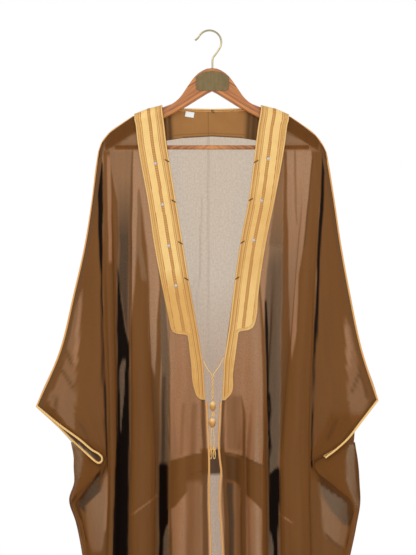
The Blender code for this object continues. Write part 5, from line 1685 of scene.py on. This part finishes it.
@dataclass
class Tie:
    """The two gold cords from the bands, twisted together, with their balls and loose ends."""

    meeting: tuple[float, float, float] = (6.0, 34.0, 690.0)
    twist_end: float = 738.0
    radius: float = 1.0
    twist_radius: float = 1.4
    turns: int = 3
    strand_radius: float = 0.8
    bead_radius: float = 6.3
    upper_drops: tuple[float, float] = (740.8, 761.0)
    knot_drops: tuple[float, float] = (761.6, 773.0)
    lower_drops: tuple[float, float] = (773.6, 793.8)
    strand_end: float = 831.0
    tassel_end: float = 857.0
    strands: tuple[float, float] = (3.2, 9.4)

    def cord_points(self, cut: SideCut) -> list[Vector]:
        """Centre line of one cord, from the band's edge down round its partner."""
        sign = cut.side.sign
        drop, lean = cut.tie_start
        x_meet, depth_meet, drop_meet = self.meeting
        edge = CENTRE_X + sign * (table(drop, cut.front_edge) - self.radius - SEAM_GAP)
        start_depth = table(drop, DRAPE.front_depth) + WALL / 2 + 0.9 + 1.3 / 2
        last = x_meet + sign * self.twist_radius
        knots = [(edge, start_depth, drop), (edge - sign * 3.0, start_depth + 0.2, drop + 4.6),
                 ((edge + last) / 2 + lean * 0.3, depth_meet, (drop + drop_meet) / 2 + 0.5),
                 (last + sign * 1.2, depth_meet, drop_meet - 3.4)]
        points = [place(*point) for point in through_knots(knots, 4)]
        steps = self.turns * 8
        for step in range(steps + 1):
            turn = math.tau * self.turns * step / steps
            height = drop_meet + (self.twist_end - drop_meet) * step / steps
            points.append(place(x_meet + sign * self.twist_radius * math.cos(turn),
                                depth_meet + sign * self.twist_radius * math.sin(turn), height))
        return points

    def strand_points(self, cut: SideCut) -> list[Vector]:
        """Centre line of one loose end below the lower ball."""
        sign = cut.side.sign
        x, depth, _ = self.meeting
        strand_x = self.strands[0 if sign < 0 else 1]
        knots = [(x + sign * 1.2, depth, self.lower_drops[1] + SEAM_GAP),
                 (strand_x - sign * 0.6, depth + 0.4, 805.0),
                 (strand_x + sign * 0.2, depth - 0.3, 818.0), (strand_x, depth, self.strand_end)]
        return [place(*point) for point in through_knots(knots, 4)]

    @staticmethod
    def line_length(points: np.ndarray) -> float:
        """Length of a line of points."""
        return float(np.linalg.norm(np.diff(points, axis=0), axis=1).sum())

    def wrapped_ball(self, name: str, x: float, drops: tuple[float, float], radius: float,
                     wardrobe: Wardrobe, wraps: int = 14) -> bpy.types.Object:
        """A ball wrapped in gold cord from pole to pole.

        Args:
            name: The piece's name.
            x: Where its axis is.
            drops: Its top and bottom.
            radius: Its radius at the middle.
            wardrobe: The finishes.
            wraps: How many turns of cord show.

        Returns:
            The piece.
        """
        middle, half = (drops[0] + drops[1]) / 2, (drops[1] - drops[0]) / 2
        depth = self.meeting[1]
        across, down = 56, 28
        grid = np.empty((down + 1, across + 1, 3))
        groove = np.empty((down + 1, across + 1))
        for row in range(down + 1):
            angle = math.pi * row / down
            for column in range(across + 1):
                turn = math.tau * column / across
                wave = abs(math.cos(wraps * turn / 2 + 1.2 * angle))
                ring = radius * math.sin(angle) * (0.93 + 0.07 * wave)
                grid[row, column] = place(x + ring * math.cos(turn), depth + ring * math.sin(turn),
                                          middle - half * math.cos(angle))
                groove[row, column] = (1.0 - wave) * 0.9
        uv = np.stack(np.meshgrid(np.linspace(0, 0.03, across + 1), np.linspace(0, 0.02, down + 1)),
                      axis=-1)
        # Painted light: the ball's top is brighter, and its lower half is darker in its grooves.
        lit = np.clip(2.3 - 4.0 * np.linspace(0.0, 1.0, down + 1), 0.0, 1.0)
        gold = np.repeat(lit[:, None], across + 1, axis=1)
        groove = np.clip(groove * 0.8 + 0.5 - 0.5 * gold, 0.0, 1.0)
        bm = GridMesh(grid, uv, {"groove": groove, "gold": gold}).build()
        bmesh.ops.remove_doubles(bm, verts=bm.verts, dist=0.00002)
        return finish_piece(name, bm, wardrobe.cord, [name])

    def thread_knot(self, wardrobe: Wardrobe) -> bpy.types.Object:
        """The knot between the balls, as loops of cord round each other."""
        x, depth = self.meeting[0] + 1.2, self.meeting[1]
        top, bottom = self.knot_drops
        middle = (top + bottom) / 2
        points = []
        for step in range(97):
            turn = math.tau * step / 96
            ring = 2.1 + 0.7 * math.cos(3.0 * turn)
            points.append(place(x + ring * math.cos(2.0 * turn), depth + ring * math.sin(2.0 * turn),
                                middle + 3.6 * math.sin(3.0 * turn)))
        cord = TwistedCord(np.array([tuple(p) for p in points]), 1.15 * MM, pitch=4.0 * MM)
        return finish_piece("knot_middle", cord.build(), wardrobe.cord, ["knot_middle"])

    def tassel(self, cut: SideCut, wardrobe: Wardrobe) -> bpy.types.Object:
        """The end of a strand: its knot and the threads that it frays into."""
        x = self.strands[0 if cut.side is Side.LEFT else 1]
        depth = self.meeting[1]
        rng = random.Random(11 + cut.side.sign)
        bm = bmesh.new()

        def add(cord: TwistedCord) -> None:
            """Join a cord's mesh to the tassel's."""
            made = cord.build()
            mesh = bpy.data.meshes.new("thread")
            made.to_mesh(mesh)
            made.free()
            bm.from_mesh(mesh)
            bpy.data.meshes.remove(mesh)

        knot = []
        for step in range(49):
            turn = math.tau * step / 48
            ring = 1.9 + 0.7 * math.cos(3.0 * turn)
            knot.append(place(x + ring * math.cos(2.0 * turn), depth + ring * math.sin(2.0 * turn),
                              self.strand_end + 4.4 + 3.0 * math.sin(3.0 * turn)))
        add(TwistedCord(np.array([tuple(p) for p in knot]), 1.0 * MM, around=8))
        loop = []
        for step in range(33):
            turn = math.tau * step / 32
            loop.append(place(x + cut.side.sign * (0.4 + 2.3 * math.sin(turn)),
                              depth + 0.9 * math.cos(turn),
                              self.strand_end + 6.0 + 9.6 * (1.0 - math.cos(turn))))
        add(TwistedCord(np.array([tuple(p) for p in loop]), 0.8 * MM, around=8))
        for thread in range(6):
            angle = math.tau * thread / 6 + rng.uniform(-0.2, 0.2)
            spread = rng.uniform(1.2, 2.4)
            length = rng.uniform(0.4, 0.7)
            end = self.strand_end + 5.0 + (self.tassel_end - self.strand_end - 5.0) * length
            start = self.strand_end + 5.0
            line = [place(x + 0.5 * math.cos(angle), depth + 0.5 * math.sin(angle), start),
                    place(x + 0.8 * math.cos(angle), depth + 0.8 * math.sin(angle),
                          (2 * start + end) / 3),
                    place(x + spread * 0.8 * math.cos(angle), depth + spread * 0.8 * math.sin(angle),
                          (start + 2 * end) / 3),
                    place(x + spread * math.cos(angle), depth + spread * math.sin(angle), end)]
            add(TwistedCord(finer_line(line, 2.0 * MM), 0.3 * MM, around=6, strands=2))
        name = f"tassel_end_{cut.side.word}"
        return finish_piece(name, bm, wardrobe.cord, [name])

    def build(self, wardrobe: Wardrobe) -> None:
        """Make the tie: its balls, its knot, its two cords and its loose ends with their tassels."""
        x = self.meeting[0]
        upper = self.wrapped_ball("bead_upper", x + 0.6, self.upper_drops, self.bead_radius, wardrobe)
        lower = self.wrapped_ball("bead_lower", x - 0.2, self.lower_drops, self.bead_radius + 0.4,
                                  wardrobe)
        knot = self.thread_knot(wardrobe)
        for cut in CUTS:
            word = cut.side.word
            for kind, line, radius, ends in (
                    ("tie", self.cord_points(cut), self.radius,
                     [upper, knot, lower] if cut.side is Side.LEFT else []),
                    ("strand", self.strand_points(cut), self.strand_radius,
                     [self.tassel(cut, wardrobe)])):
                points = finer_line(line, 0.8 * MM)
                cord = TwistedCord(points, radius * MM, pitch=3.2 * MM, relief=0.1)
                name = f"{kind}_{word}"
                piece = finish_piece(name, cord.build(), wardrobe.cord, [name])


@dataclass
class Hanger:
    """The wooden yoke with its bar, wire hook and bare plate."""

    wooden: tuple[str, ...] = ("hanger", "hanger_bar")
    hook: str = "hanger_hook"
    plate: str = "hanger_plate"

    def dress(self, frame: dict, wardrobe: Wardrobe) -> None:
        """Give the solids of the hanger their finishes."""
        finishes = dict.fromkeys(self.wooden, wardrobe.wood)
        finishes.update({self.hook: wardrobe.brass, self.plate: wardrobe.plate})
        for name, finish in finishes.items():
            solid = frame["nodes"][name]
            for slot in solid.material_slots:
                slot.material = finish
            LOG.info("%s dressed", name)


@dataclass
class Studio:
    """The white surround, the lights, the floor and the camera."""

    centre: tuple[float, float] = (-0.0028, -0.495)
    distance: float = 3.5
    lens: float = 112.9
    floor_drop: float = 1.6
    floor_radius: float = 2.4

    def build_camera(self) -> None:
        """Set the camera level in front of the cloak."""
        data = bpy.data.cameras.new("camera")
        data.lens = self.lens
        data.sensor_width = 36.0
        camera = bpy.data.objects.new("camera", data)
        camera.location = (self.centre[0], -self.distance, self.centre[1])
        camera.rotation_euler = (math.pi / 2, 0.0, 0.0)
        bpy.context.collection.objects.link(camera)
        bpy.context.scene.camera = camera

    def add_light(self, name: str, spot: Sequence[float], size: float, power: float) -> None:
        """Hang a soft light that faces the cloak's middle."""
        data = bpy.data.lights.new(name, "AREA")
        data.shape = "DISK"
        data.size = size
        data.energy = power
        light = bpy.data.objects.new(name, data)
        light.location = spot
        aim = Vector((0.0, 0.0, -0.6)) - light.location
        light.rotation_euler = aim.to_track_quat("-Z", "Y").to_euler()
        bpy.context.collection.objects.link(light)

    def build(self) -> None:
        """Light the room and lay the floor."""
        scene = bpy.context.scene
        world = bpy.data.worlds.new("white studio")
        world.use_nodes = True
        world.node_tree.nodes["Background"].inputs[0].default_value = (1.0, 1.0, 1.0, 1.0)
        world.node_tree.nodes["Background"].inputs[1].default_value = 1.0
        scene.world = world
        scene.view_settings.view_transform = "Standard"
        scene.cycles.transparent_max_bounces = 32
        self.add_light("key", (-1.6, -2.6, 1.2), 1.6, 24.0)
        self.add_light("fill", (1.9, -2.4, 0.2), 1.8, 10.0)
        bm = bmesh.new()
        bmesh.ops.create_circle(bm, cap_ends=True, segments=96, radius=self.floor_radius)
        bmesh.ops.translate(bm, verts=bm.verts, vec=(0.0, 0.0, -self.floor_drop))
        mesh = bpy.data.meshes.new("floor")
        bm.to_mesh(mesh)
        bm.free()
        mesh.materials.append(PlainMatt("pale floor", (0.86, 0.86, 0.86)).build())
        floor = bpy.data.objects.new("floor", mesh)
        bpy.context.collection.objects.link(floor)


def main() -> None:
    """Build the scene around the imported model."""
    logging.basicConfig(level=logging.INFO, format="%(message)s")
    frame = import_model()
    studio = Studio()
    studio.build_camera()
    wardrobe = Wardrobe()
    Tie().build(wardrobe)
    back = BackPanel(seed=3.0).build(wardrobe)
    for cut, seed in zip(CUTS, (11.0, 23.0)):
        front = FrontPanel(cut=cut, seed=seed).build(wardrobe)
        Pipings(cut).build(wardrobe)
    Band(LEFT_CUT, dots=(266.0, 349.0, 431.0, 512.0), bars=(260.0, 342.0, 426.0, 498.0)).build(wardrobe)
    # The right band has painted shade in its middle and near its foot.
    Band(RIGHT_CUT, dots=(257.0, 341.0, 420.0), bars=(262.0, 339.0, 424.0, 496.0),
         painted_shade_along=((170.0, 0.0), (300.0, 0.1), (340.0, 0.5), (470.0, 0.5), (520.0, 0.2), (650.0, 0.2),
                   (665.0, 0.6))).build(wardrobe)
    NeckFacing().build(wardrobe)
    NeckCord().build(wardrobe)
    Label().build(wardrobe)
    Hanger().dress(frame, wardrobe)
    studio.build()


if __name__ == "__main__":
    main()
